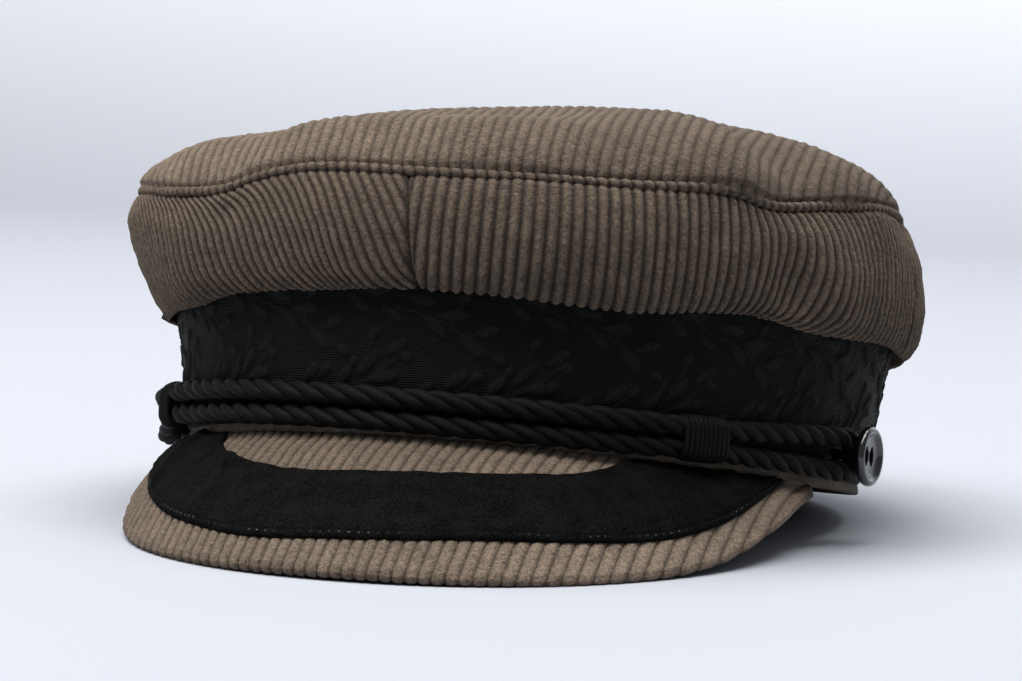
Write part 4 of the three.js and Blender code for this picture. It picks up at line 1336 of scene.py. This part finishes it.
def peak_cloth():
    half = (ring_point(PEAK_SPREAD, 0, 0)[0] + PEAK_WIDENING)
    wales = int(round(2 * half / WALE_PITCH))
    phases = wale_columns(0, wales)
    width = (phases / wales * 2 - 1) * half
    shares = np.linspace(0, 1, PEAK_SURFACE_ROWS)
    places = place_at_width(width, shares)
    columns = len(width)
    radius = PEAK_WALL / 2
    relief = np.broadcast_to(wale_relief(phases, PEAK_ROUNDNESS)[:, None], places.shape)
    low = peak_point(-np.ones(len(shares)), shares)[:, 0]
    high = peak_point(np.ones(len(shares)), shares)[:, 0]
    inside = (width[:, None] > low[None]) & (width[:, None] < high[None])
    relief = relief * inside
    # The upper face stops a radius short of the edge, and rolls over it to the underside
    edge = peak_point(places[:, -1], np.ones(columns))
    before = peak_point(places[:, -1], np.full(columns, 0.97))
    outward = unit(edge - before)
    reach = np.linalg.norm(edge - peak_point(places[:, 0], np.zeros(columns)), axis=1)
    squeeze = np.clip(1 - radius / np.maximum(reach, 2 * radius), 0.5, 1)
    squeezed = shares[None] * squeeze[:, None]
    point = peak_point(places, squeezed)
    normal = peak_normal(places.ravel(), squeezed.ravel()).reshape(point.shape)
    fade = smoothstep(reach / (6 * MM))[:, None]
    lift = (relief - 0.8) * WALE_DEPTH * PEAK_WALE_DEPTH * fade
    lift += 0.1 * MM * ripple(point, 9 * MM, 51) + fuzz(point, PILE, 52)
    upper = point + normal * lift[..., None]
    from_root = squeezed * reach[:, None]
    upper[..., 2] += ROOT_RISE * (1 - smoothstep(from_root / (6 * MM)))
    last = point[:, -1]
    n_last = normal[:, -1]
    roll_turn = np.linspace(0, math.pi, PEAK_ROLL_ROWS + 1)[1:]
    centre = last - n_last * radius
    roll = (
        centre[:, None]
        + n_last[:, None] * (np.cos(roll_turn) * radius)[None, :, None]
        + outward[:, None] * (np.sin(roll_turn) * radius)[None, :, None]
    )
    arm = unit(roll - centre[:, None])
    roll_relief = relief[:, -1:] * np.ones(PEAK_ROLL_ROWS)
    roll_lift = (roll_relief - 0.8) * WALE_DEPTH * PEAK_WALE_DEPTH * fade
    pinch = 0.25 * MM * bell((roll_turn - 0.35) / 0.25)
    roll = roll + arm * (roll_lift - pinch + fuzz(roll, PILE, 53))[..., None]
    top = np.concatenate([upper, roll], axis=1)
    tucked = ring_point(places[:, 0] * PEAK_SPREAD, -PEAK_ROOT, 0)
    tucked[:, 2] = upper[:, 0, 2] - 0.3 * MM
    top = np.concatenate([tucked[:, None], top], axis=1)
    rows = top.shape[1]
    # The underside follows with a plain facing
    under_shares = np.linspace(1, 0, PEAK_UNDER_ROWS)
    coarse = slice(None, None, len(WALE_STOPS))
    picked = np.linspace(0, PEAK_SURFACE_ROWS - 1, PEAK_UNDER_ROWS).astype(int)
    under_places = places[coarse][:, ::-1][:, picked]
    under_squeezed = under_shares[None] * squeeze[coarse][:, None]
    under = peak_point(under_places, under_squeezed)
    under_normal = peak_normal(under_places.ravel(), under_squeezed.ravel()).reshape(under.shape)
    under = under - under_normal * PEAK_WALL
    root_under = tucked[coarse].copy()
    root_under[:, 2] -= PEAK_WALL - 0.4 * MM
    under = np.concatenate([under[:, 1:], root_under[:, None]], axis=1)
    inner = under[:, ::-1]
    # The wall closes with the roll's end on one side and the tucked root on the other
    out_index = grid_index(columns, rows)
    in_index = grid_index(inner.shape[0], inner.shape[1], columns * rows)
    faces = quads(out_index) + quads(in_index, flip=True)
    step = len(WALE_STOPS)
    for a in range(len(in_index) - 1):
        span = slice(a * step, (a + 1) * step + 1)
        faces.append(out_index[span, 0].tolist()[::-1] + [in_index[a, 0], in_index[a + 1, 0]])
        faces.append(out_index[span, -1].tolist() + [in_index[a + 1, -1], in_index[a, -1]])
    faces.append(out_index[0].tolist() + in_index[0][::-1].tolist())
    faces.append(out_index[-1].tolist()[::-1] + in_index[-1].tolist())
    points = np.concatenate([top.reshape(-1, 3), inner.reshape(-1, 3)])
    # The valleys are darkened less than on the side, as on the top panel: partly the pile's own colour,
    # partly painted shade
    pile_and_shade = mix(PALE_VALLEY, 1, np.concatenate([relief[:, :1] * 0, relief, roll_relief], axis=1))
    pile_and_shade = with_inner(pile_and_shade, inner, INNER_NAP)
    # Painted light: the peak is painted lighter towards the wearer's left
    painted_light = PEAK_PAINTED_LIGHT + PEAK_PAINTED_LIGHT_TURN * smoothstep(points[:, 0] / HEM_HALF_WIDTH)
    return piece(
        "peak_cloth", on_floor(points), faces, CORDUROY, ["peak"],
        {"pile_and_shade": pile_and_shade, "painted_light": painted_light}, merge=MERGE, world=True,
    )


BRAID_STEPS = 420
BRAID_ROWS = 28
BRAID_LIFT = 0.35 * MM


def share_in_from_edge(place, distance):
    """The share at which each place on the peak lies a distance in from its edge."""
    shares = np.linspace(1, 0, 401)
    found = np.empty(len(place))
    distance = np.broadcast_to(distance, found.shape)
    for i, at in enumerate(place):
        found[i] = np.interp(distance[i], lengths_along(peak_point(at, shares)), shares)
    return found


# How far the sewn braid's outer and inner edges lie in from the peak's edge: place, distance (mm)
BRAID_MARGINS = [
    (-1, 13.5), (-0.6, 13.5), (-0.4, 11), (-0.2, 9), (0, 10.6),
    (0.25, 12.6), (0.42, 12), (0.58, 10.6), (0.8, 11.5), (1, 12),
]
BRAID_INNER_REACHES = [
    (-1, 60), (-0.56, 54), (-0.5, 45), (-0.44, 39), (-0.35, 36.3), (-0.2, 34.2), (0, 35.6),
    (0.2, 37.2), (0.38, 37.4), (0.44, 39.4), (0.5, 45), (0.56, 54), (1, 60),
]

# Small folds sewn into the braid where it bends: place along it, lean across it, height (mm)
BRAID_TUCKS = [
    (-0.60, 0.040, 1.3),
    (-0.34, 0.035, 1.0),
    (0.74, -0.040, 0.45),
    (0.88, -0.030, 0.5),
]


def peak_braid():
    ends = np.linspace(0.85, 1, 151)
    end = ends[share_in_from_edge(ends, BRAID_EDGE_MARGIN) > 0.06].max()
    turn = np.linspace(-0.5, 0.5, BRAID_STEPS + 1) * math.pi
    place = end * np.sin(turn)
    margin = smooth_through(*np.array(BRAID_MARGINS).T, place, 0, 0) * MM
    inner_reach = smooth_through(*np.array(BRAID_INNER_REACHES).T, place, 0, 0) * MM
    outer_share = share_in_from_edge(place, margin)
    inner_share = np.minimum(share_in_from_edge(place, inner_reach), outer_share - 0.04)
    inner_share = np.maximum(inner_share, 0.004)
    across = np.linspace(0, 1, BRAID_ROWS + 1)
    share = mix(inner_share[:, None], outer_share[:, None], across[None])
    places = np.broadcast_to(place[:, None], share.shape)
    point = peak_point(places, share)
    normal = peak_normal(places.ravel(), share.ravel()).reshape(point.shape)
    width_here = np.linalg.norm(point[:, -1] - point[:, 0], axis=1)
    from_outer = (1 - across)[None] * width_here[:, None]
    from_inner = across[None] * width_here[:, None]
    walked = lengths_along(point[:, BRAID_ROWS // 2])
    along = walked[:, None] + 0 * share
    rim = 0.55 * MM
    edge = np.minimum(from_outer, from_inner)
    thick = BRAID_WALL * np.sqrt(np.clip(1 - (1 - np.clip(edge / rim, 0, 1)) ** 2, 0.02, 1))
    lift = BRAID_LIFT + thick
    lift -= 0.4 * MM * bell((from_outer - BRAID_GROOVE_IN) / (0.4 * MM)) * (from_outer < 6 * MM)
    lift += 0.12 * MM * ripple(point, 8 * MM, 61) + 0.05 * MM * ripple(point, 2.2 * MM, 62)
    for at, lean, height in BRAID_TUCKS:
        line = at + lean * (across[None] - 0.5)
        past = (places - line) / 0.02
        fold = np.where(past < 0, bell(past / 1.6), bell(past / 0.35))
        lift = lift + height * MM * fold * smoothstep(from_outer / (5 * MM))
    wobble = 0.25 * MM * np.sin(walked / (3.1 * MM)) * np.sin(walked / (7.3 * MM))
    inward = unit(point[:, 0] - point[:, 1])
    top = point + normal * lift[..., None]
    top += inward[:, None] * (wobble[:, None] * np.clip(1 - from_inner / (3 * MM), 0, 1))[..., None]
    under = (point + normal * BRAID_LIFT * 0.4)[::4, ::BRAID_ROWS]
    points, faces = shell(top[:, ::-1], under[:, ::-1], 4, BRAID_ROWS)
    values = {
        "along": with_inner(along[:, ::-1] / MM, under),
        "across": with_inner(from_outer[:, ::-1] / MM, under),
    }
    return piece("peak_braid_weave", points, faces, BRAID, ["peak_braid"], values)


# Cords, whippings and buttons

CORD_RADIUS = CORD_DIAMETER / 2
CORD_MIDDLE_HEIGHT = HEM_HEIGHT + CLEARANCE + CORD_RADIUS + CORD_SPACING / 2
CORD_STEPS = 42
CORD_LAY = 19 * MM
STRAND_RADIUS = 1.46 * MM
STRAND_REACH = 1.22 * MM
LOOP_REACH = 3.9 * MM
WHIPPING_PINCH = 0.2
CORD_HANG = 1.8 * MM  # how much lower the cloth ropes lie than their stand-ins at the front
HANG_ANGLE = math.radians(20)
HANG_SPREAD = math.radians(45)
PINCH_SPREAD = math.radians(6)
SLACK_ANGLE = math.radians(-71)
SLACK_SPREAD = math.radians(6)
SLACK_OUT = 2.9 * MM
SLACK_DOWN = {1: 0.3 * MM, -1: 3.4 * MM}


def cord_out(angle, height):
    held = [WHIPPING_LEFT_ANGLE, WHIPPING_RIGHT_ANGLE, BUTTON_LEFT_ANGLE, BUTTON_RIGHT_ANGLE]
    near = np.max([1 - np.abs(angle - at) / CORD_HELD_ANGLE for at in held], axis=0)
    eased = smoothstep(np.clip(2 * near, 0, 1))
    return flare_at(height) + CLEARANCE + CORD_RADIUS + eased * (WHIPPING_WALL + CLEARANCE)


def cord_point(angle, side):
    angle = np.asarray(angle, float)
    button = np.where(angle > 0, BUTTON_LEFT_ANGLE, BUTTON_RIGHT_ANGLE)
    spreading = 1 - smoothstep(np.abs(button - angle) / CORD_SPREADING_ANGLE)
    held = np.max([bell((angle - at) / PINCH_SPREAD) for at in WHIPPING_ANGLES], axis=0)
    spread = mix(CORD_SPACING / 2, LOOP_REACH, spreading) * (1 - WHIPPING_PINCH * held)
    hang = CORD_HANG * bell((angle - HANG_ANGLE) / HANG_SPREAD) * (1 - spreading)
    slack = bell((angle - SLACK_ANGLE) / SLACK_SPREAD)
    height = CORD_MIDDLE_HEIGHT + side * spread - hang - slack * SLACK_DOWN[side]
    return band_point(angle, cord_out(angle, height) + slack * SLACK_OUT, height)


def cord_middle(angle):
    return (cord_point(angle, 1) + cord_point(angle, -1)) / 2


def along_band(angle):
    return unit(np.array([HEM_HALF_WIDTH * math.cos(angle), HEM_HALF_LENGTH * math.sin(angle), 0.0]))


def cord_path(side):
    """The cord's middle line: along the front, then a half loop round a button's shank."""
    hook, start = BUTTON_RIGHT_ANGLE, BUTTON_LEFT_ANGLE
    if side < 0:
        hook, start = start, hook
    angles = mix(start, hook, np.arange(CORD_STEPS + 1) / CORD_STEPS)
    points = cord_point(angles, side)
    straight = CORD_RADIUS
    points[0] += unit(points[1] - points[0]) * (straight + CLEARANCE)
    centre = cord_middle(hook)
    away = along_band(hook) * math.copysign(LOOP_REACH, hook)
    loop_steps = 8
    turns = np.arange(1, loop_steps + 1) / loop_steps * math.pi
    loop = centre + away * np.sin(turns)[:, None]
    loop = loop + np.array([0, 0, side * LOOP_REACH]) * np.cos(turns)[:, None]
    end = loop[-1] - away * straight / LOOP_REACH
    knots = np.concatenate([points, loop, [end]])
    fine = np.linspace(0, len(knots) - 1, (len(knots) - 1) * 10 + 1)
    path, _ = along_curve(knots, fine)
    if side < 0:
        return path
    return path[::-1]


def even_path(path, step):
    lengths = lengths_along(path)
    count = max(int(round(lengths[-1] / step)), 2)
    at = np.linspace(0, lengths[-1], count + 1)
    return np.stack([np.interp(at, lengths, path[:, k]) for k in range(3)], -1), at


def twisted_cord(name, side):
    """Three plump strands laid round each other, running down to the wearer's left."""
    path, at = even_path(cord_path(side), 0.75 * MM)
    ahead = unit(np.gradient(path, axis=0))
    upright = np.array([0.0, 0.0, 1.0])
    out = unit(np.cross(ahead, upright))
    over = np.cross(out, ahead)
    for i in range(1, len(path)):
        carried = out[i - 1] - ahead[i] * (out[i - 1] @ ahead[i])
        out[i] = carried / np.linalg.norm(carried)
        over[i] = np.cross(out[i], ahead[i])
    held = np.min([np.linalg.norm(path - cord_middle(spot), axis=1) for spot in WHIPPING_ANGLES], axis=0)
    pinch = 1 - 0.12 * bell(held / (8 * MM))
    parts = []
    threads = []
    sides = 12
    round_turn = full_turn(sides)
    for strand in range(3):
        turn = -2 * math.pi * (at / CORD_LAY + strand / 3)
        reach = (STRAND_REACH * pinch)[:, None]
        centre = path + reach * (out * np.cos(turn)[:, None] + over * np.sin(turn)[:, None])
        swell = STRAND_RADIUS * pinch * (1 + 0.02 * np.sin(at / (2.3 * MM) + strand))
        grid = tube_grid(centre, sides, swell)
        parts.append((grid, tube_faces(len(path), sides)))
        spin = 2 * math.pi * at / (9 * MM)
        threads.append(np.stack([
            3.2 * np.cos(round_turn[None] + spin[:, None]),
            3.2 * np.sin(round_turn[None] + spin[:, None]),
            (at[:, None] / MM + strand * 40) * 0.12 + 0 * round_turn[None],
        ], -1).reshape(-1, 3))
    points, faces = join(parts)
    return piece(name + "_strands", points, faces, CORD, [name],
                 {"thread": np.concatenate(threads)})


WHIPPING_TURNS = 10


def whipping(name, middle_angle):
    """Turns of thread, side by side, each round both cords."""
    thread = WHIPPING_LENGTH / WHIPPING_TURNS / 2
    arm = (STRAND_REACH + STRAND_RADIUS) * 0.88 + thread * 0.75
    ahead = along_band(middle_angle)
    out = np.cross(ahead, (0, 0, 1.0))
    parts = []
    threads = []
    steps = 44
    sides = 8
    turn = full_turn(steps)
    radius = np.linalg.norm(cord_middle(middle_angle)[:2])
    half = CORD_SPACING / 2 * (1 - WHIPPING_PINCH)
    for k in range(WHIPPING_TURNS):
        place = (k + 0.5) / WHIPPING_TURNS - 0.5
        angle = middle_angle + place * WHIPPING_LENGTH / radius
        centre = cord_middle(angle)
        waist = 1 - 0.1 * (2 * place) ** 4
        rise = np.sin(turn) * arm + np.sign(np.sin(turn)) * half * np.minimum(1, np.abs(np.sin(turn)) * 3)
        reach = np.cos(turn) * arm * waist
        path = centre + out * reach[:, None] + np.array([0, 0, 1.0]) * (rise * waist)[:, None]
        path = path + ahead * (0.1 * MM * np.sin(turn * 2 + k))[:, None]
        grid = tube_grid(path, sides, thread * 1.04, closed=True)
        parts.append((grid, tube_faces(steps, sides, closed=True)))
        spin = full_turn(sides)
        threads.append(np.stack([
            1.6 * np.cos(spin[None] + turn[:, None] * 4),
            1.6 * np.sin(spin[None] + turn[:, None] * 4),
            turn[:, None] * 0.6 + k * 7 + 0 * spin[None],
        ], -1).reshape(-1, 3))
    points, faces = join(parts)
    return piece(name + "_thread", points, faces, CORD, [name],
                 {"thread": np.concatenate(threads)})


BUTTON_STANDOFF = CORD_DIAMETER + WHIPPING_WALL + 3 * CLEARANCE + BAND_FLARE * CORD_LOOP_RADIUS / BAND_HEIGHT
# The button's outline from the back's middle out to its rim and in to its dished middle
BUTTON_PROFILE = [  # radius and height, shares of the button's radius and thickness
    (0.0, 0.0),
    (0.6, 0.0),
    (0.8, 0.08),
    (0.93, 0.28),
    (0.985, 0.45),
    (1.0, 0.6),
    (0.99, 0.76),
    (0.955, 0.91),
    (0.9, 0.985),
    (0.85, 1.0),
    (0.79, 0.96),
    (0.74, 0.86),
    (0.69, 0.75),
    (0.62, 0.68),
    (0.5, 0.64),
    (0.3, 0.61),
    (0.0, 0.6),
]


def lathe(profile, steps):
    """A closed turned shape about +Y, from (radius, height) pairs that end on the axis."""
    turn = full_turn(steps)
    rings = [np.stack([r * np.cos(turn), 0 * turn + h, r * np.sin(turn)], -1) for r, h in profile[1:-1]]
    points = np.concatenate([np.array(rings).reshape(-1, 3), [(0, profile[0][1], 0), (0, profile[-1][1], 0)]])
    index = grid_index(len(rings), steps)
    index = np.concatenate([index, index[:, :1]], axis=1)
    faces = quads(index)
    first, last = len(points) - 2, len(points) - 1
    for k in range(steps):
        faces.append([first, int(index[0, k]), int(index[0, k + 1])])
        faces.append([last, int(index[-1, k + 1]), int(index[-1, k])])
    return points, faces


def plain_object(name, points, faces):
    mesh = bpy.data.meshes.new(name)
    mesh.from_pydata(points.tolist(), [], faces)
    thing = bpy.data.objects.new(name, mesh)
    bpy.context.scene.collection.objects.link(thing)
    return thing


def drilled_button():
    """The button's points and faces about +Y, with its four holes cut through."""
    radius = BUTTON_DIAMETER / 2
    profile = [(r * radius, h * BUTTON_THICKNESS) for r, h in BUTTON_PROFILE]
    points, faces = lathe(profile, 72)
    body = plain_object("button_blank", points, faces)
    hole = BUTTON_HOLE_DIAMETER / 2
    pins = []
    for k in range(4):
        turn = (k + 0.5) * math.pi / 2
        reach = BUTTON_HOLE_CIRCLE / 2
        depth = [(0, -BUTTON_THICKNESS), (hole, -BUTTON_THICKNESS), (hole, 3 * BUTTON_THICKNESS),
                 (0, 3 * BUTTON_THICKNESS)]
        pin_points, pin_faces = lathe(depth, 20)
        pin_points = pin_points + (reach * math.cos(turn), 0, reach * math.sin(turn))
        pins.append((pin_points, pin_faces))
    drill = plain_object("button_drill", *join(pins))
    for thing in (body, drill):
        work = bmesh.new()
        work.from_mesh(thing.data)
        bmesh.ops.recalc_face_normals(work, faces=work.faces)
        work.to_mesh(thing.data)
        work.free()
    cut = body.modifiers.new("holes", "BOOLEAN")
    cut.operation = "DIFFERENCE"
    cut.object = drill
    cut.solver = "EXACT"
    depsgraph = bpy.context.evaluated_depsgraph_get()
    made = bpy.data.meshes.new_from_object(body.evaluated_get(depsgraph))
    for thing in (body, drill):
        bpy.data.objects.remove(thing)
    points = np.array([v.co for v in made.vertices])
    faces = [list(p.vertices) for p in made.polygons]
    bpy.data.meshes.remove(made)
    return points, faces


def button_seat(angle):
    """Where a button's back lies, and its axes: along the band, outward and across."""
    along = along_band(angle)
    out = np.cross(along, (0, 0, 1.0))
    seat = band_point(np.array([angle]), flare_at(CORD_MIDDLE_HEIGHT), CORD_MIDDLE_HEIGHT)[0]
    return seat + out * BUTTON_STANDOFF, along, out


def sewn_thread(radius):
    """The shank behind the button and the crossed stitches through its holes, about +Y."""
    shank = BUTTON_SHANK_DIAMETER / 2
    length = BUTTON_STANDOFF - CLEARANCE
    profile = [(0, -length), (shank * 1.5, -length), (shank, -length * 0.7), (shank * 0.92, -length * 0.4),
               (shank, -0.2 * MM), (shank * 1.6, 0.05 * MM), (0, 0.05 * MM)]
    parts = [lathe(profile, 20)]
    reach = BUTTON_HOLE_CIRCLE / 2 * math.cos(math.pi / 4)
    face = 0.62 * BUTTON_THICKNESS
    for side in (-1, 1):
        for offset in (-0.25, 0.25):
            x = side * reach + offset * MM * 0.9
            bend = np.linspace(-1, 1, 13)
            z = bend * reach
            y = face + 0.45 * MM * np.sqrt(np.clip(1 - bend**4, 0, 1)) - 0.25 * MM
            y[0] = y[-1] = 0.1 * MM
            path = np.stack([x + 0 * z, y, z], -1)
            parts.append((tube_grid(path, 6, radius), tube_faces(len(path), 6)))
    return parts


def placed(points, seat, along, out):
    """Points about +Y moved to a button's seat, with +Y outward."""
    axes = np.stack([along, out, np.cross(along, out)])
    return points.reshape(-1, 3) @ axes + seat


def buttons():
    disc = drilled_button()
    for name, angle in (("button_left", BUTTON_LEFT_ANGLE), ("button_right", BUTTON_RIGHT_ANGLE)):
        seat, along, out = button_seat(angle)
        points = placed(disc[0], seat, along, out)
        body = piece(name + "_disc", points, disc[1], BUTTON, [name])
        body.data.set_sharp_from_angle(angle=math.radians(40))
        points, faces = join(sewn_thread(0.24 * MM))
        piece(name + "_sewing", placed(points, seat, along, out), faces, CORD, (),
              {"thread": points * 900})


# Stage

FLOOR_COLOR = (0.315, 0.330, 0.366)
WALL_COLOR = (0.80, 0.82, 0.87)


def backdrop():
    """A pale floor that sweeps up behind the hat."""
    steps = 24
    radius = 0.9
    near, far = -2.6, 1.6
    rows = [(near, 0.0), (far, 0.0)]
    for k in range(1, steps + 1):
        turn = k / steps * math.pi / 2
        rows.append((far + radius * math.sin(turn), radius - radius * math.cos(turn)))
    rows.append((far + radius, 3.5))
    half = 4.0
    points = [(x, y, z - 0.0002) for y, z in rows for x in (-half, half)]
    faces = [(2 * i, 2 * i + 1, 2 * i + 3, 2 * i + 2) for i in range(len(rows) - 1)]
    thing = plain_object("backdrop", np.array(points), faces)
    finish = Finish("backdrop_paper", Roughness=0.9, Specular_IOR_Level=0.1)
    height = finish.add("ShaderNodeSeparateXYZ", Vector=finish.object_place).outputs["Z"]
    finish.color(finish.blend(finish.range(height, 0.0, 0.45), FLOOR_COLOR, WALL_COLOR))
    thing.data.materials.append(finish.material)
    thing.data.polygons.foreach_set("use_smooth", np.ones(len(thing.data.polygons), bool))


def area_light(name, place, target, size, power, color=(1, 1, 1)):
    data = bpy.data.lights.new(name, "AREA")
    data.shape = "RECTANGLE"
    data.size = size[0]
    data.size_y = size[1]
    data.energy = power
    data.color = color
    lamp = bpy.data.objects.new(name, data)
    lamp.location = place
    lamp.rotation_euler = (Vector(target) - Vector(place)).to_track_quat("-Z", "Y").to_euler()
    bpy.context.scene.collection.objects.link(lamp)


def lights():
    world = bpy.data.worlds.new("studio")
    world.use_nodes = True
    world.node_tree.nodes["Background"].inputs["Color"].default_value = (0.93, 0.95, 1.0, 1.0)
    world.node_tree.nodes["Background"].inputs["Strength"].default_value = 0.3
    bpy.context.scene.world = world
    bpy.context.scene.view_settings.view_transform = "Standard"
    area_light("window", (-1.0, -1.0, 1.9), (0, 0, 0.05), (1.2, 1.2), 34, (1.0, 0.98, 0.95))
    area_light("ceiling", (-0.1, -0.15, 2.0), (0, 0, 0), (2.0, 2.0), 84, (1.0, 0.99, 0.97))
    area_light("wall_wash", (0.0, 1.2, 2.6), (0, 2.45, 0.9), (3.0, 0.5), 51)


# Camera fitted to the photograph, in the hat's own frame before it leans on its peak
CAMERA_AZIMUTH = math.radians(16.85)
CAMERA_ELEVATION = math.radians(-3.3)
CAMERA_ROLL = math.radians(4.25)
CAMERA_DISTANCE = 1.0
CAMERA_TARGET = np.array([0, 0, 30 * MM])
FOCAL_PIXELS = 3802
IMAGE_WIDTH, IMAGE_HEIGHT = 1022, 681
AXIS_X, AXIS_Y = 535.8, 346.0  # the pixel that the fitted lens looks straight at


def camera():
    flat = math.cos(CAMERA_ELEVATION)
    back = np.array([
        math.sin(CAMERA_AZIMUTH) * flat,
        -math.cos(CAMERA_AZIMUTH) * flat,
        math.sin(CAMERA_ELEVATION),
    ])
    level = np.array([math.cos(CAMERA_AZIMUTH), math.sin(CAMERA_AZIMUTH), 0])
    upright = np.cross(back, level)
    right = level * math.cos(CAMERA_ROLL) + upright * math.sin(CAMERA_ROLL)
    up = -level * math.sin(CAMERA_ROLL) + upright * math.cos(CAMERA_ROLL)
    place = CAMERA_TARGET + back * CAMERA_DISTANCE
    # The camera turns a little, so that the image's middle is where the lens looks
    aim = -back * FOCAL_PIXELS + right * (IMAGE_WIDTH / 2 - AXIS_X) - up * (IMAGE_HEIGHT / 2 - AXIS_Y)
    back = -unit(aim)
    right = unit(right - back * (right @ back))
    up = np.cross(back, right)
    data = bpy.data.cameras.new("camera")
    data.sensor_width = 36
    data.lens = data.sensor_width * FOCAL_PIXELS / IMAGE_WIDTH
    thing = bpy.data.objects.new("camera", data)
    axes = np.stack([LEAN @ right, LEAN @ up, LEAN @ back], 1)
    matrix = Matrix([[*axes[i], to_world(place)[i]] for i in range(3)] + [[0, 0, 0, 1]])
    thing.matrix_world = matrix
    bpy.context.scene.collection.objects.link(thing)
    bpy.context.scene.camera = thing


camera()
for quarter in QUARTER_TURNS:
    crown_quarter(quarter)
crown_top()
seam_strip()
hem_and_band()
band_ribbon()
peak_cloth()
peak_braid()
twisted_cord("cord_upper", 1)
twisted_cord("cord_lower", -1)
whipping("whipping_left", WHIPPING_LEFT_ANGLE)
whipping("whipping_right", WHIPPING_RIGHT_ANGLE)
buttons()
backdrop()
lights()
